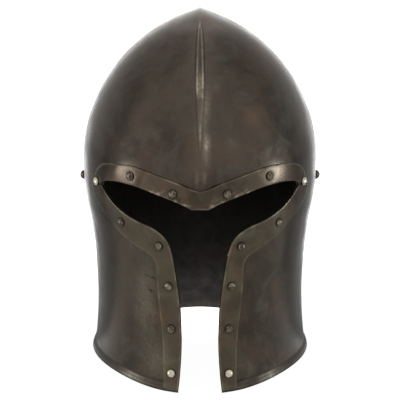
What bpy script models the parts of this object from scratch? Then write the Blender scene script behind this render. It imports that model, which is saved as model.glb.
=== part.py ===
"""A barbute: an open-faced knight's helmet with a T-shaped face opening.

Metres, +Z up. The face looks along -Y and +X is at the right of someone who looks at it. The origin
is on the plane that the rim stands on, below the middle of the helmet. Every plate and leather
follows one shape, outer_point(), which the profiles under "Shape of the bowl" set.
"""

import math

import bmesh
import bpy
from mathutils import Matrix, Vector

# ---------------------------------------------------------------- driving dimensions

HEIGHT = 0.303
MIDDLE_Y = -0.001724  # puts the middle of the whole helmet over the origin
CROWN_SETBACK = 0.006
WALL_SCALE = Vector((0.9842, 0.9867, 0.9940))  # inner face of the steel, about 1.6 mm inside
GAP = 0.0003  # left between pieces that touch
BAND_THICKNESS = 0.0012
BAND_LIFT = 0.0005  # bands clear the faceted shell by this
BAND_SETBACK = 0.0009  # the shell's edge shows past the bands by this

RIVET_HEAD_RADIUS = 0.0036
RIVET_HEAD_HEIGHT = 0.0022
RIVET_SHANK_RADIUS = 0.0015
RIVET_HOLE_RADIUS = 0.0018
RIVET_TAIL_RADIUS = 0.0026
RIVET_TAIL_HEIGHT = 0.0009
SIDE_HEAD_RADIUS = 0.0042  # the two rivets that carry the chin strap have larger heads
SIDE_HEAD_HEIGHT = 0.0036
STEEL_INSIDE = 0.0024  # from the shell's outer face to the tails that lie on its inner face
ROUND_SIDES = 8
WASHER_RADIUS = 0.0045
WASHER_THICKNESS = 0.0008

LEATHER_THICKNESS = 0.0020
LINER_DEPTH = 0.0022  # from the shell's outer face to the liner band's outer face
LINER_BELOW_RIVETS = 0.0045
LINER_ABOVE_RIVETS = 0.0220
TONGUE_COUNT = 8
TONGUE_THICKNESS = 0.0018
TONGUE_LEAN = 1.5  # 1 makes the tongues' dome an ellipse, and more makes it pointed
TONGUE_TOP = 0.266  # over 30 mm below the steel, so that a blow doesn't reach the head
TONGUE_TIP_RADIUS = 0.013
TONGUE_ROWS = 6
TONGUE_COLUMNS = (-2.5, -2, -1, 0, 1, 2, 2.5)  # in steps of the shell's columns
PATCH_RADIUS = 0.024
PATCH_FLAT_RADIUS = 0.0144
PATCH_SAG = 0.0020
FACET_SPACE = 0.0006  # flat pieces stand off a curved wall by this

STRAP_WIDTH = 0.018
STRAP_THICKNESS = 0.0022
BUCKLE_HEIGHT = 0.022
BUCKLE_HALF_WIDTH = 0.0115
BUCKLE_WIRE_RADIUS = 0.0014
BUCKLE_CORNER = 0.003
PRONG_WIDTH = 0.003
PRONG_THICKNESS = 0.0012
PRONG_OVERHANG = 0.0022  # past the middle of the frame's far side

# ---------------------------------------------------------------- smooth curves


def smooth_curve(points):
    """A monotone cubic through (position, value) points, held at its end values outside them."""
    xs, ys = zip(*points)
    slopes = [(ys[i + 1] - ys[i]) / (xs[i + 1] - xs[i]) for i in range(len(xs) - 1)]
    tangents = [slopes[0]]
    for before, after in zip(slopes, slopes[1:]):
        same_way = before * after > 0
        tangents.append(2 * before * after / (before + after) if same_way else 0.0)
    tangents.append(slopes[-1])

    def value(x):
        x = min(max(x, xs[0]), xs[-1])
        i = max(k for k in range(len(xs) - 1) if k == 0 or xs[k] <= x)
        span = xs[i + 1] - xs[i]
        t = (x - xs[i]) / span
        return (
            ys[i] * (1 + 2 * t) * (1 - t) ** 2
            + tangents[i] * span * t * (1 - t) ** 2
            + ys[i + 1] * t * t * (3 - 2 * t)
            + tangents[i + 1] * span * t * t * (t - 1)
        )

    return value


def eased(t):
    """0 to 1 with level ends."""
    t = min(max(t, 0.0), 1.0)
    return t * t * (3 - 2 * t)


def spline(points, per_span=6):
    """Points along a Catmull-Rom curve through 2-D or 3-D points."""
    points = [Vector(p) for p in points]
    ends = [2 * points[0] - points[1], *points, 2 * points[-1] - points[-2]]
    found = []
    for a, b, c, d in zip(ends, ends[1:], ends[2:], ends[3:]):
        for k in range(per_span):
            t = k / per_span
            square, cube = 2 * a - 5 * b + 4 * c - d, 3 * b - a - 3 * c + d
            found.append(0.5 * (2 * b + (c - a) * t + square * t * t + cube * t**3))
    return [*found, points[-1]]


def evenly(points, count):
    """count points at even distances along a polyline."""
    lengths = [0.0]
    for a, b in zip(points, points[1:]):
        lengths.append(lengths[-1] + (b - a).length)
    found, i = [], 0
    for k in range(count):
        wanted = lengths[-1] * k / (count - 1)
        while i < len(points) - 2 and lengths[i + 1] < wanted:
            i += 1
        share = (wanted - lengths[i]) / (lengths[i + 1] - lengths[i])
        found.append(points[i].lerp(points[i + 1], share))
    return found


# ---------------------------------------------------------------- shape of the bowl
# Heights are above the rim. The sides swell over the ears, narrow at the neck and flare at the lip.

half_width = smooth_curve(
    [
        (0.000, 0.0958), (0.003, 0.0950), (0.008, 0.0932), (0.018, 0.0919), (0.050, 0.0902),
        (0.090, 0.0915), (0.122, 0.0950), (0.140, 0.0986), (0.162, 0.1011), (0.182, 0.1009),
        (0.205, 0.0972), (0.230, 0.0876), (0.255, 0.0719), (0.275, 0.0522), (0.290, 0.0302),
        (HEIGHT, 0.0),
    ]
)  # fmt: skip
FRONT_REACH = [
    (0.000, 0.1200), (0.008, 0.1180), (0.040, 0.1170), (0.090, 0.1185), (0.150, 0.1205),
    (0.175, 0.1200), (0.200, 0.1155), (0.225, 0.1055), (0.250, 0.0885), (0.270, 0.0685),
    (0.285, 0.0485), (0.296, 0.0275),
]  # fmt: skip
REAR_REACH = [
    (0.000, 0.1130), (0.008, 0.1100), (0.045, 0.1050), (0.090, 0.1085), (0.140, 0.1185),
    (0.175, 0.1220), (0.200, 0.1185), (0.225, 0.1080), (0.250, 0.0905), (0.270, 0.0700),
    (0.285, 0.0498), (0.296, 0.0284),
]  # fmt: skip
# 2 makes a section round and less makes it pointed at the front and rear
plan_power = smooth_curve([(0.0, 1.72), (0.120, 1.72), (0.180, 1.75), (0.250, 1.60), (HEIGHT, 1.25)])

ARCH_RISE = 0.0045  # the rim rises over the shoulders by this
ARCH_FRONT, ARCH_REAR, ARCH_SIDE = 0.028, 0.045, 0.088  # distances from the middle: two starts and the end
ARCH_FADE = 0.060


def reach_curve(points):
    """A profile through the points, closed at the crown by a round cap."""
    lower = smooth_curve(points)
    cap_from, cap_reach = points[-1]

    def value(height):
        if height <= cap_from:
            return lower(height)
        return cap_reach * math.sqrt(max(0.0, (HEIGHT - height) / (HEIGHT - cap_from)))

    return value


front_reach = reach_curve(FRONT_REACH)
rear_reach = reach_curve(REAR_REACH)


def section_centre(height):
    """The crown leans back a little."""
    return MIDDLE_Y + CROWN_SETBACK * (height / HEIGHT) ** 2


def rim_arch(x, height, in_front):
    start = ARCH_FRONT if in_front else ARCH_REAR
    rise = ARCH_RISE * eased((abs(x) - start) / (ARCH_SIDE - start))
    return rise * max(0.0, 1 - height / ARCH_FADE) ** 2


def outer_point(angle, height):
    """The outer face at a plan angle, 0 at the front and a quarter turn at +X, and a height."""
    across, along = math.sin(angle), -math.cos(angle)
    x = math.copysign(abs(across) ** (2 / plan_power(height)), across) * half_width(height)
    reach = front_reach(height) if along < 0 else rear_reach(height)
    y = section_centre(height) + reach * along
    return Vector((x, y, height + rim_arch(x, height, along < 0)))


def outer_normal(angle, height):
    turn, climb = 0.01, 0.0005
    low, high = max(0.0, height - climb), min(HEIGHT, height + climb)
    sideways = outer_point(angle + turn, height) - outer_point(angle - turn, height)
    upwards = outer_point(angle, high) - outer_point(angle, low)
    return sideways.cross(upwards).normalized()


def wall_point(angle, height, lift):
    """The outer face moved out by lift, or in where lift is negative."""
    return outer_point(angle, height) + outer_normal(angle, height) * lift


def front_y(x, z):
    """Depth of the outer face at a place in the front view."""
    height = z
    for _ in range(6):
        height = z - rim_arch(x, height, True)
    height = max(0.0, height)
    share = min(1.0, abs(x) / half_width(height)) ** plan_power(height)
    return section_centre(height) - front_reach(height) * math.sqrt(max(0.0, 1 - share))


def front_normal(x, z):
    step = 0.0005
    sideways = Vector((2 * step, front_y(x + step, z) - front_y(x - step, z), 0))
    upwards = Vector((0, front_y(x, z + step) - front_y(x, z - step), 2 * step))
    return sideways.cross(upwards).normalized()


def front_point(x, z, lift=0.0):
    return Vector((x, front_y(x, z), z)) + front_normal(x, z) * lift


# ---------------------------------------------------------------- front-view outlines, (x, z), +X half

NOSE_HALF_WIDTH = 0.0065
BROW_EDGE = [
    (0.0065, 0.1558), (0.0160, 0.1603), (0.0320, 0.1654), (0.0480, 0.1696), (0.0600, 0.1710),
    (0.0700, 0.1706), (0.0770, 0.1690),
]  # fmt: skip
EYE_CORNER = [(0.0795, 0.1672), (0.0800, 0.1650)]
CHEEK_EDGE = [
    (0.0785, 0.1620), (0.0740, 0.1562), (0.0680, 0.1510), (0.0600, 0.1460), (0.0500, 0.1420),
    (0.0400, 0.1393), (0.0335, 0.1362), (0.0280, 0.1318), (0.0240, 0.1250), (0.0215, 0.1160),
    (0.0186, 0.0985), (0.0161, 0.0780), (0.0151, 0.0580), (0.0149, 0.0430), (0.0154, 0.0280),
    (0.0166, 0.0120), (0.0180, 0.0000),
]  # fmt: skip
BELOW_RIM = (0.0184, -0.010)
BROW_BAND_TOP = [
    (0.0000, 0.1710), (0.0040, 0.1719), (0.0080, 0.1733), (0.0160, 0.1765), (0.0320, 0.1811),
    (0.0480, 0.1850), (0.0580, 0.1862), (0.0700, 0.1853), (0.0785, 0.1828), (0.0836, 0.1777),
    (0.0868, 0.1702), (0.0890, 0.1625),
]  # fmt: skip
BROW_BAND_END = (0.0808, 0.1652)  # lower corner, at the temple
CHEEK_BAND_START = (0.0806, 0.1647)  # upper corner, below the brow band
CHEEK_BAND_FOOT = (0.0179, 0.0018)
CHEEK_BAND_OUTSIDE = [
    (0.0894, 0.1620), (0.0875, 0.1530), (0.0835, 0.1462), (0.0785, 0.1408), (0.0720, 0.1350),
    (0.0640, 0.1275), (0.0530, 0.1212), (0.0435, 0.1168), (0.0378, 0.1132), (0.0350, 0.1075),
    (0.0344, 0.0980), (0.0340, 0.0860), (0.0324, 0.0680), (0.0304, 0.0500), (0.0297, 0.0320),
    (0.0296, 0.0150), (0.0294, 0.0030),
]  # fmt: skip


def set_back(points, distance):
    """A 2-D line moved away from the opening, which lies on its left."""
    moved = []
    for i, point in enumerate(points):
        along = points[min(i + 1, len(points) - 1)] - points[max(i - 1, 0)]
        moved.append(point + Vector((along.y, -along.x)).normalized() * distance)
    return moved


def opening_outline():
    """The +X half of the face opening, from the nose point round the eye and down to below the rim."""
    brow = spline(BROW_EDGE, 3)
    cheek = spline(CHEEK_EDGE, 2)
    return [*brow, *map(Vector, EYE_CORNER), *cheek, Vector(BELOW_RIM)]


# ---------------------------------------------------------------- mesh helpers


def material(name, colour, roughness, metallic):
    made = bpy.data.materials.get(name) or bpy.data.materials.new(name)
    made.use_nodes = True
    shader = made.node_tree.nodes["Principled BSDF"]
    shader.inputs["Base Color"].default_value = (*colour, 1.0)
    shader.inputs["Roughness"].default_value = roughness
    shader.inputs["Metallic"].default_value = metallic
    return made


def blackened_steel():
    return material("blackened_steel", (0.085, 0.075, 0.065), 0.35, 1.0)


def band_steel():
    return material("band_steel", (0.110, 0.095, 0.080), 0.35, 1.0)


def rivet_steel():
    return material("rivet_steel", (0.240, 0.220, 0.200), 0.40, 1.0)


def liner_leather():
    return material("liner_leather", (0.090, 0.050, 0.028), 0.70, 0.0)


def strap_leather():
    return material("strap_leather", (0.060, 0.036, 0.022), 0.60, 0.0)


def buckle_steel():
    return material("buckle_steel", (0.300, 0.280, 0.250), 0.35, 1.0)


def finish(name, bm, skin, smooth_angle=35):
    """An object from a bmesh whose faces then all point out."""
    bmesh.ops.recalc_face_normals(bm, faces=bm.faces)
    mesh = bpy.data.meshes.new(name)
    bm.to_mesh(mesh)
    bm.free()
    mesh.materials.append(skin)
    mesh.shade_smooth()
    mesh.set_sharp_from_angle(angle=math.radians(smooth_angle))
    made = bpy.data.objects.new(name, mesh)
    bpy.context.scene.collection.objects.link(made)
    return made


def add_plate(bm, outer, inner, ring=False):
    """A closed solid between two matching grids of points. A ring joins its last column to its first."""
    columns, rows = len(outer), len(outer[0])
    skins = [[[bm.verts.new(p) for p in column] for column in grid] for grid in (outer, inner)]
    steps = range(columns if ring else columns - 1)
    for skin in skins:
        for i in steps:
            for j in range(rows - 1):
                k = (i + 1) % columns
                bm.faces.new((skin[i][j], skin[k][j], skin[k][j + 1], skin[i][j + 1]))
    top, bottom = skins
    for i in steps:
        k = (i + 1) % columns
        for j in (0, rows - 1):
            bm.faces.new((top[i][j], top[k][j], bottom[k][j], bottom[i][j]))
    if not ring:
        for i in (0, columns - 1):
            for j in range(rows - 1):
                bm.faces.new((top[i][j], top[i][j + 1], bottom[i][j + 1], bottom[i][j]))


def add_turned(bm, profile, placed, sides):
    """A solid turned about Z from (radius, height) points, whose first and last may lie on the axis."""
    rings = []
    for radius, height in profile:
        if radius == 0:
            rings.append([bm.verts.new(placed @ Vector((0, 0, height)))])
            continue
        corners = []
        for k in range(sides):
            turn = 2 * math.pi * k / sides
            corner = Vector((radius * math.cos(turn), radius * math.sin(turn), height))
            corners.append(bm.verts.new(placed @ corner))
        rings.append(corners)
    if len(rings[0]) > 1:  # a ring with a hole closes on itself
        rings.append(rings[0])
    for a, b in zip(rings, rings[1:]):
        for k in range(sides):
            n = (k + 1) % sides
            corners = [a[k % len(a)], a[n % len(a)], b[n % len(b)], b[k % len(b)]]
            bm.faces.new(list(dict.fromkeys(corners)))


def add_strip(bm, path, across, width, thickness):
    """A flat strap that follows a path. across is the direction of its width."""
    half = Vector(across) * width / 2
    outer, inner = [], []
    for i, point in enumerate(path):
        along = path[min(i + 1, len(path) - 1)] - path[max(i - 1, 0)]
        face = along.cross(half).normalized() * thickness / 2
        outer.append([point - half + face, point + half + face])
        inner.append([point - half - face, point + half - face])
    add_plate(bm, outer, inner)


def facing(point, normal):
    """A placement whose Z runs along the normal."""
    return Matrix.Translation(point) @ normal.to_track_quat("Z", "X").to_matrix().to_4x4()


def cutter(name, bm):
    """A closed tool that is left out of renders."""
    made = finish(name, bm, blackened_steel())
    made.hide_render = True
    made.display_type = "WIRE"
    return made


def cut(part, tool):
    boolean = part.modifiers.new("cut_" + tool.name, "BOOLEAN")
    boolean.operation = "DIFFERENCE"
    boolean.solver = "EXACT"
    boolean.object = tool


def move_origin(part, pivot):
    """Puts a part's origin on its joint without moving its shape."""
    part.data.transform(Matrix.Translation(-pivot))
    part.location = pivot


# ---------------------------------------------------------------- rivet places

rivet_row = smooth_curve(
    [
        (0, 0.1675), (8, 0.1680), (28, 0.1780), (40, 0.1775), (52, 0.1768), (62, 0.1735),
        (75, 0.1650), (84, 0.1590), (96, 0.1565), (120, 0.1560), (180, 0.1560),
    ]
)  # fmt: skip


def rivet_line(angle):
    """Height of the line of rivets that holds the liner, at a plan angle. It passes over the eyes."""
    return rivet_row(abs(math.degrees(math.atan2(math.sin(angle), math.cos(angle)))))


BROW_RIVETS = [(0.0213, 0.1681), (0.0554, 0.1783)]
TEMPLE_RIVETS = [(0.0849, 0.1658)]
DOME_SHOULDER = 0.72
CHEEK_RIVETS = [(0.0637, 0.1376), (0.0327, 0.1235), (0.0250, 0.0904), (0.0230, 0.0541), (0.0231, 0.0157)]
SIDE_RIVET_ANGLE = math.radians(90)
REAR_RIVET_ANGLES = [math.radians(a) for a in (114, 140, 167)]


def on_front(places, side):
    """(point, normal) of each front-view place, on the side +1 or -1."""
    return [(front_point(side * x, z), front_normal(side * x, z)) for x, z in places]


def on_wall(angles, side):
    return [(outer_point(side * a, rivet_line(a)), outer_normal(side * a, rivet_line(a))) for a in angles]


def domed(radius, base, height):
    """(radius, height) points of a domed head, from its top down to its rim at base."""
    return [(0, base + height), (DOME_SHOULDER * radius, base + DOME_SHOULDER * height), (radius, base)]


def rivet_profile(head, tail_base):
    """A domed head, a shank, and a spread tail whose top is at tail_base."""
    head_base = head[-1][1]
    return [
        *head,
        (RIVET_SHANK_RADIUS, head_base),
        (RIVET_SHANK_RADIUS, tail_base),
        (RIVET_TAIL_RADIUS, tail_base),
        (0, tail_base - RIVET_TAIL_HEIGHT),
    ]


def turned(name, profile, place):
    """A turned solid of rivet steel at a (point, normal) place."""
    bm = bmesh.new()
    add_turned(bm, profile, facing(*place), ROUND_SIDES)
    return finish(name, bm, rivet_steel())


def rivets(name, places, head_base, tail_base, radius=RIVET_HEAD_RADIUS, height=RIVET_HEAD_HEIGHT):
    profile = rivet_profile(domed(radius, head_base, height), tail_base)
    for number, place in enumerate(places, 1):
        turned(f"{name}_{number}", profile, place)


def hole_tool(name, places, radius=RIVET_HOLE_RADIUS, reach=0.012):
    profile = [(0, -reach), (radius, -reach), (radius, reach), (0, reach)]
    bm = bmesh.new()
    for place in places:
        add_turned(bm, profile, facing(*place), ROUND_SIDES)
    return cutter(name, bm)


# ---------------------------------------------------------------- steel plates

RIB_HALF_WIDTH = 0.0034
RIB_HEIGHT = 0.0009
RIB_LOW, RIB_HIGH = 0.196, 0.2965
RIB_SIDE = 0.001  # how far its sides slope out
KEEL_COLUMN_LEAST = 0.0018


def rib_share(height):
    """How far the raised rib along the keel is grown, 0 at its ends and 1 along its middle."""
    return eased((height - RIB_LOW) / 0.030) * eased((RIB_HIGH - height) / 0.040)


SHELL_HEIGHTS = [
    0.0, 0.003, 0.008, 0.018, 0.040, 0.070, 0.100, 0.124, 0.142, 0.158, 0.175, 0.190, 0.205, 0.220,
    0.235, 0.250, 0.263, 0.275, 0.286, 0.2945, 0.3000,
]  # fmt: skip
SHELL_QUARTER_COLUMNS = 12
COLUMN_STEP = math.pi / (2 * SHELL_QUARTER_COLUMNS)


def column_angles():
    """Plan angles from the front to the rear of the +X side, without the columns on the keel."""
    return [COLUMN_STEP * k for k in range(1, 2 * SHELL_QUARTER_COLUMNS)]


def keel_angle(x, height):
    """The plan angle at which a section is x wide."""
    return math.asin((x / half_width(height)) ** (plan_power(height) / 2))


def shell_columns(height):
    """Plan angles of all the columns at a height. Those beside the keel follow the rib's edges."""
    rib = KEEL_COLUMN_LEAST + (RIB_HALF_WIDTH - KEEL_COLUMN_LEAST) * rib_share(height)
    next_column = half_width(height) * math.sin(COLUMN_STEP) ** (2 / plan_power(height))
    top = keel_angle(min(rib, 0.5 * next_column), height)
    foot = keel_angle(min(rib + RIB_SIDE, 0.8 * next_column), height)
    right = [top, foot, *column_angles(), math.pi - foot, math.pi - top]
    return [0.0, *right, math.pi, *[-a for a in reversed(right)]]


def shell_wall():
    """The bowl as one closed solid, before the face is cut."""
    bm = bmesh.new()
    outer, inner = [], []
    for height in SHELL_HEIGHTS:
        angles = shell_columns(height)
        flats = (0, 1, len(angles) - 1, len(angles) // 2 - 1, len(angles) // 2, len(angles) // 2 + 1)
        ring_out, ring_in = [], []
        for i, angle in enumerate(angles):
            lift = RIB_HEIGHT * rib_share(height) if i in flats else 0.0
            ring_out.append(bm.verts.new(wall_point(angle, height, lift)))
            ring_in.append(bm.verts.new(outer_point(angle, height) * WALL_SCALE))
        outer.append(ring_out)
        inner.append(ring_in)
    apex = Vector((0, section_centre(HEIGHT), HEIGHT))
    tops = (bm.verts.new(apex), bm.verts.new(apex * WALL_SCALE))
    count = len(outer[0])
    for rings, top in ((outer, tops[0]), (inner, tops[1])):
        for low, high in zip(rings, rings[1:]):
            for k in range(count):
                bm.faces.new((low[k], low[(k + 1) % count], high[(k + 1) % count], high[k]))
        for k in range(count):
            bm.faces.new((rings[-1][k], rings[-1][(k + 1) % count], top))
    for k in range(count):
        n = (k + 1) % count
        bm.faces.new((outer[0][k], outer[0][n], inner[0][n], inner[0][k]))
    return finish("helmet_shell", bm, blackened_steel(), 50)


def face_tool():
    """A prism that cuts the T-shaped opening through the front."""
    half = opening_outline()
    outline = [*half, *[Vector((-p.x, p.y)) for p in reversed(half)]]
    bm = bmesh.new()
    front = [bm.verts.new((p.x, -0.150, p.y)) for p in outline]
    back = [bm.verts.new((p.x, -0.005, p.y)) for p in outline]
    bm.faces.new(front)
    bm.faces.new(list(reversed(back)))
    for k in range(len(outline)):
        n = (k + 1) % len(outline)
        bm.faces.new((front[k], back[k], back[n], front[n]))
    return cutter("face_opening_tool", bm)


def band(name, inside, outside, columns, rows, shape=front_point):
    """A reinforcing plate between two lines in the front view, lying on the shell."""
    low, high = evenly(inside, columns), evenly(outside, columns)
    grids = []
    for lift in (BAND_LIFT + BAND_THICKNESS, BAND_LIFT):
        grid = []
        for a, b in zip(low, high):
            places = [a.lerp(b, j / (rows - 1)) for j in range(rows)]
            grid.append([shape(p.x, p.y, lift) for p in places])
        grids.append(grid)
    bm = bmesh.new()
    add_plate(bm, *grids)
    return finish(name, bm, band_steel())


BROW_FLAT_SPREAD = 0.30  # the flat middle widens upwards by this, each side
BROW_FLAT_END = 0.0185


def brow_point(x, z, lift):
    """The brow band is folded over the keel with a flat middle, and comes back to the shell beside it."""
    point = front_point(x, z, lift)
    flat = front_point(0.0, z, lift).y
    fold = NOSE_HALF_WIDTH + BROW_FLAT_SPREAD * max(0.0, z - BROW_EDGE[0][1])
    beside = (abs(x) - fold) / (BROW_FLAT_END - fold)
    point.y += (flat - point.y) * (1 - min(max(beside, 0.0), 1.0)) ** 2
    return point


def brow_band():
    """The V-shaped plate over the eyes. Its ends lap the temples."""
    edge = [*spline(BROW_EDGE, 5), Vector(EYE_CORNER[0]), Vector(BROW_BAND_END)]
    half_low = set_back(edge, -BAND_SETBACK)
    half_low[0] = Vector((NOSE_HALF_WIDTH, BROW_EDGE[0][1] + BAND_SETBACK))
    half_high = spline(BROW_BAND_TOP, 5)
    mirrored_low = [Vector((-p.x, p.y)) for p in reversed(half_low)]
    mirrored_high = [Vector((-p.x, p.y)) for p in reversed(half_high[1:])]
    return band("brow_band", [*mirrored_low, *half_low], [*mirrored_high, *half_high], 33, 3, brow_point)


def cheek_band(name, side):
    """The plate down the edge of the eye opening and the face slot, on the side +1 or -1."""
    edge = [Vector(CHEEK_BAND_START), *spline(CHEEK_EDGE, 4)[:-1], Vector(CHEEK_BAND_FOOT)]
    low = set_back(edge, -BAND_SETBACK)
    high = spline(CHEEK_BAND_OUTSIDE, 4)
    mirror = [[Vector((side * p.x, p.y)) for p in line] for line in (low, high)]
    return band(name, *mirror, 27, 3)


# ---------------------------------------------------------------- leather liner


def liner_heights(angle):
    low = rivet_line(angle) - LINER_BELOW_RIVETS
    high = rivet_line(angle) + LINER_ABOVE_RIVETS
    return [low, (low + high) / 2, high]


def liner_column(angle, depth):
    return [wall_point(angle, height, -depth) for height in liner_heights(angle)]


def facet_column(angle, depth):
    """A column on the flats between the band's own columns, so that nothing beside it cuts its flats."""
    below = math.floor(angle / COLUMN_STEP) * COLUMN_STEP
    share = (angle - below) / COLUMN_STEP
    pair = zip(liner_column(below, depth), liner_column(below + COLUMN_STEP, depth))
    return [a.lerp(b, share) for a, b in pair]


def liner_band():
    """The leather head band, riveted inside the shell above the eyes and round the back."""
    angles = [COLUMN_STEP * k for k in range(4 * SHELL_QUARTER_COLUMNS)]
    bm = bmesh.new()
    outer = [liner_column(a, LINER_DEPTH) for a in angles]
    inner = [liner_column(a, LINER_DEPTH + LEATHER_THICKNESS) for a in angles]
    add_plate(bm, outer, inner, ring=True)
    return finish("liner_band", bm, liner_leather())


def tongue_column(angle, depth, top):
    """A line up a tongue, from the foot sewn inside the band to the tip below the crown."""
    foot = facet_column(angle, depth)[1:]
    start = foot[-1]
    centre_y = section_centre(TONGUE_TOP)
    outward = Vector((start.x, start.y - centre_y, 0))
    spread = outward.length
    dome = []
    for k in range(1, TONGUE_ROWS + 1):
        turn = math.pi / 2 * k / TONGUE_ROWS
        radius = TONGUE_TIP_RADIUS + (spread - TONGUE_TIP_RADIUS) * math.cos(turn) ** TONGUE_LEAN
        height = start.z + (top - start.z) * math.sin(turn)
        dome.append(Vector((0, centre_y, height)) + outward / spread * radius)
    return [*foot, *dome]


def tongue(number):
    """One of the leather gores that cradle the head."""
    middle = 2 * math.pi * (number - 0.5) / TONGUE_COUNT
    angles = [middle + COLUMN_STEP * k for k in TONGUE_COLUMNS]
    depth = LINER_DEPTH + LEATHER_THICKNESS + GAP
    outer = [tongue_column(a, depth, TONGUE_TOP) for a in angles]
    inner = [tongue_column(a, depth + TONGUE_THICKNESS, TONGUE_TOP - TONGUE_THICKNESS) for a in angles]
    bm = bmesh.new()
    add_plate(bm, outer, inner)
    return finish(f"liner_tongue_{number}", bm, liner_leather())


def crown_patch():
    """The round leather that the tips of the tongues are sewn under."""
    base = TONGUE_TOP + GAP
    top = base + LEATHER_THICKNESS
    profile = [
        (0, top),
        (PATCH_FLAT_RADIUS, top),
        (PATCH_RADIUS, top - PATCH_SAG),
        (PATCH_RADIUS, base - PATCH_SAG),
        (PATCH_FLAT_RADIUS, base),
        (0, base),
    ]
    bm = bmesh.new()
    add_turned(bm, profile, Matrix.Translation((0, section_centre(TONGUE_TOP), 0)), 2 * ROUND_SIDES)
    return finish("liner_crown_patch", bm, liner_leather())


def washers(name, places, base):
    """Flat washers behind the leather, their outer face at base."""
    hole = RIVET_HOLE_RADIUS
    profile = [
        (WASHER_RADIUS, base),
        (WASHER_RADIUS, base - WASHER_THICKNESS),
        (hole, base - WASHER_THICKNESS),
        (hole, base),
    ]
    for number, place in enumerate(places, 1):
        turned(f"{name}_{number}", profile, place)


# ---------------------------------------------------------------- chin straps
# They hang inside the cheeks from the side rivets. Paths are (x, z) on the +X side at the rivet's depth.

ACROSS = Vector((1, 0, 0))
STRAP_SPACE = 0.0012  # a flat strap stands off the curved liner by this
STRAP_DEPTH = LINER_DEPTH + LEATHER_THICKNESS + GAP + STRAP_SPACE + STRAP_THICKNESS / 2
HANGING = [(0.0007, 0.0065), (0.0000, 0.0000), (-0.0012, -0.0105)]  # from the rivet
BAR_X, BAR_Z = 0.0800, 0.0640
LONG_FOLD_Z = 0.0300


def strap_pivot(side):
    point, normal = on_wall([SIDE_RIVET_ANGLE], side)[0]
    return point - normal * STRAP_DEPTH


def arc(centre, radius, start, end, steps):
    """(x, z) points on an arc, angles in degrees from +X towards +Z."""
    turns = [math.radians(start + (end - start) * k / steps) for k in range(steps + 1)]
    return [(centre[0] + radius * math.cos(t), centre[1] + radius * math.sin(t)) for t in turns]


def strap_route(side, places):
    """The hanging part at the rivet followed by (x, z) places, as points in the strap's own plane."""
    pivot = strap_pivot(side)
    top = [(abs(pivot.x) + dx, pivot.z + dz) for dx, dz in HANGING]
    return [Vector((side * x, pivot.y, z)) for x, z in [*top, *places]]


def strap(name, side, places, tools):
    bm = bmesh.new()
    add_strip(bm, strap_route(side, places), (0, 1, 0), STRAP_WIDTH, STRAP_THICKNESS)
    made = finish(name, bm, strap_leather())
    pivot = strap_pivot(side)
    normal = on_wall([SIDE_RIVET_ANGLE], side)[0][1]
    cut(made, hole_tool(name + "_hole_tool", [(pivot, normal)], reach=0.004))
    for tool in tools:
        cut(made, tool)
    return made


def box_tool(name, low, high):
    bm = bmesh.new()
    bmesh.ops.create_cube(bm, size=1.0)
    size = Vector(high) - Vector(low)
    bmesh.ops.scale(bm, vec=size, verts=bm.verts)
    bmesh.ops.translate(bm, vec=(Vector(high) + Vector(low)) / 2, verts=bm.verts)
    return cutter(name, bm)


SHORT_SIDE, LONG_SIDE = 1, -1
WRAP_RADIUS = BUCKLE_WIRE_RADIUS + GAP + STRAP_THICKNESS / 2
LAYER_OFFSET = STRAP_THICKNESS / 2 + GAP / 2  # each layer's middle from the fold's
SHORT_HANG = [(0.0908, 0.1270), (0.0856, 0.1090), (0.0812, 0.0980)]
INNER_LAYER = [(BAR_X - LAYER_OFFSET, 0.0880), (BAR_X - LAYER_OFFSET, 0.0780)]
OUTER_LAYER = [(BAR_X + LAYER_OFFSET, 0.0780), (BAR_X + LAYER_OFFSET, 0.0900)]
SLOT_TOP = 0.009  # above the bar
SLOT_MARGIN = 0.003
FOLD_RIVET_Z = 0.0830
FOLD_HEAD_RADIUS, FOLD_HEAD_HEIGHT = 0.0028, 0.0011
FOLD_HOLE_REACH = 0.005


def short_strap():
    """Wraps the buckle's bar from the inside and comes back up against the cheek."""
    wrap = arc((BAR_X, BAR_Z), WRAP_RADIUS, 180, 360, 8)
    pivot = strap_pivot(SHORT_SIDE)
    reach = BUCKLE_WIRE_RADIUS + STRAP_THICKNESS + SLOT_MARGIN
    slot = box_tool(
        "prong_slot_tool",
        (BAR_X - reach, pivot.y - PRONG_WIDTH, BAR_Z - reach),
        (BAR_X + reach, pivot.y + PRONG_WIDTH, BAR_Z + SLOT_TOP),
    )
    centre = Vector((BAR_X, pivot.y, FOLD_RIVET_Z))
    rivet_hole = hole_tool("fold_rivet_hole_tool", [(centre, ACROSS)], reach=FOLD_HOLE_REACH)
    route = [*SHORT_HANG, *INNER_LAYER, *wrap, *OUTER_LAYER]
    return strap("chin_strap_short", SHORT_SIDE, route, [slot, rivet_hole])


def fold_rivet():
    """The small rivet that closes the strap round the buckle's bar."""
    pivot = strap_pivot(SHORT_SIDE)
    grip = STRAP_THICKNESS + GAP / 2 + GAP
    half = [*domed(FOLD_HEAD_RADIUS, grip, FOLD_HEAD_HEIGHT), (RIVET_SHANK_RADIUS, grip)]
    profile = [*half, *[(radius, -height) for radius, height in reversed(half)]]
    return turned("strap_fold_rivet", profile, (Vector((BAR_X, pivot.y, FOLD_RIVET_Z)), ACROSS))


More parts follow.
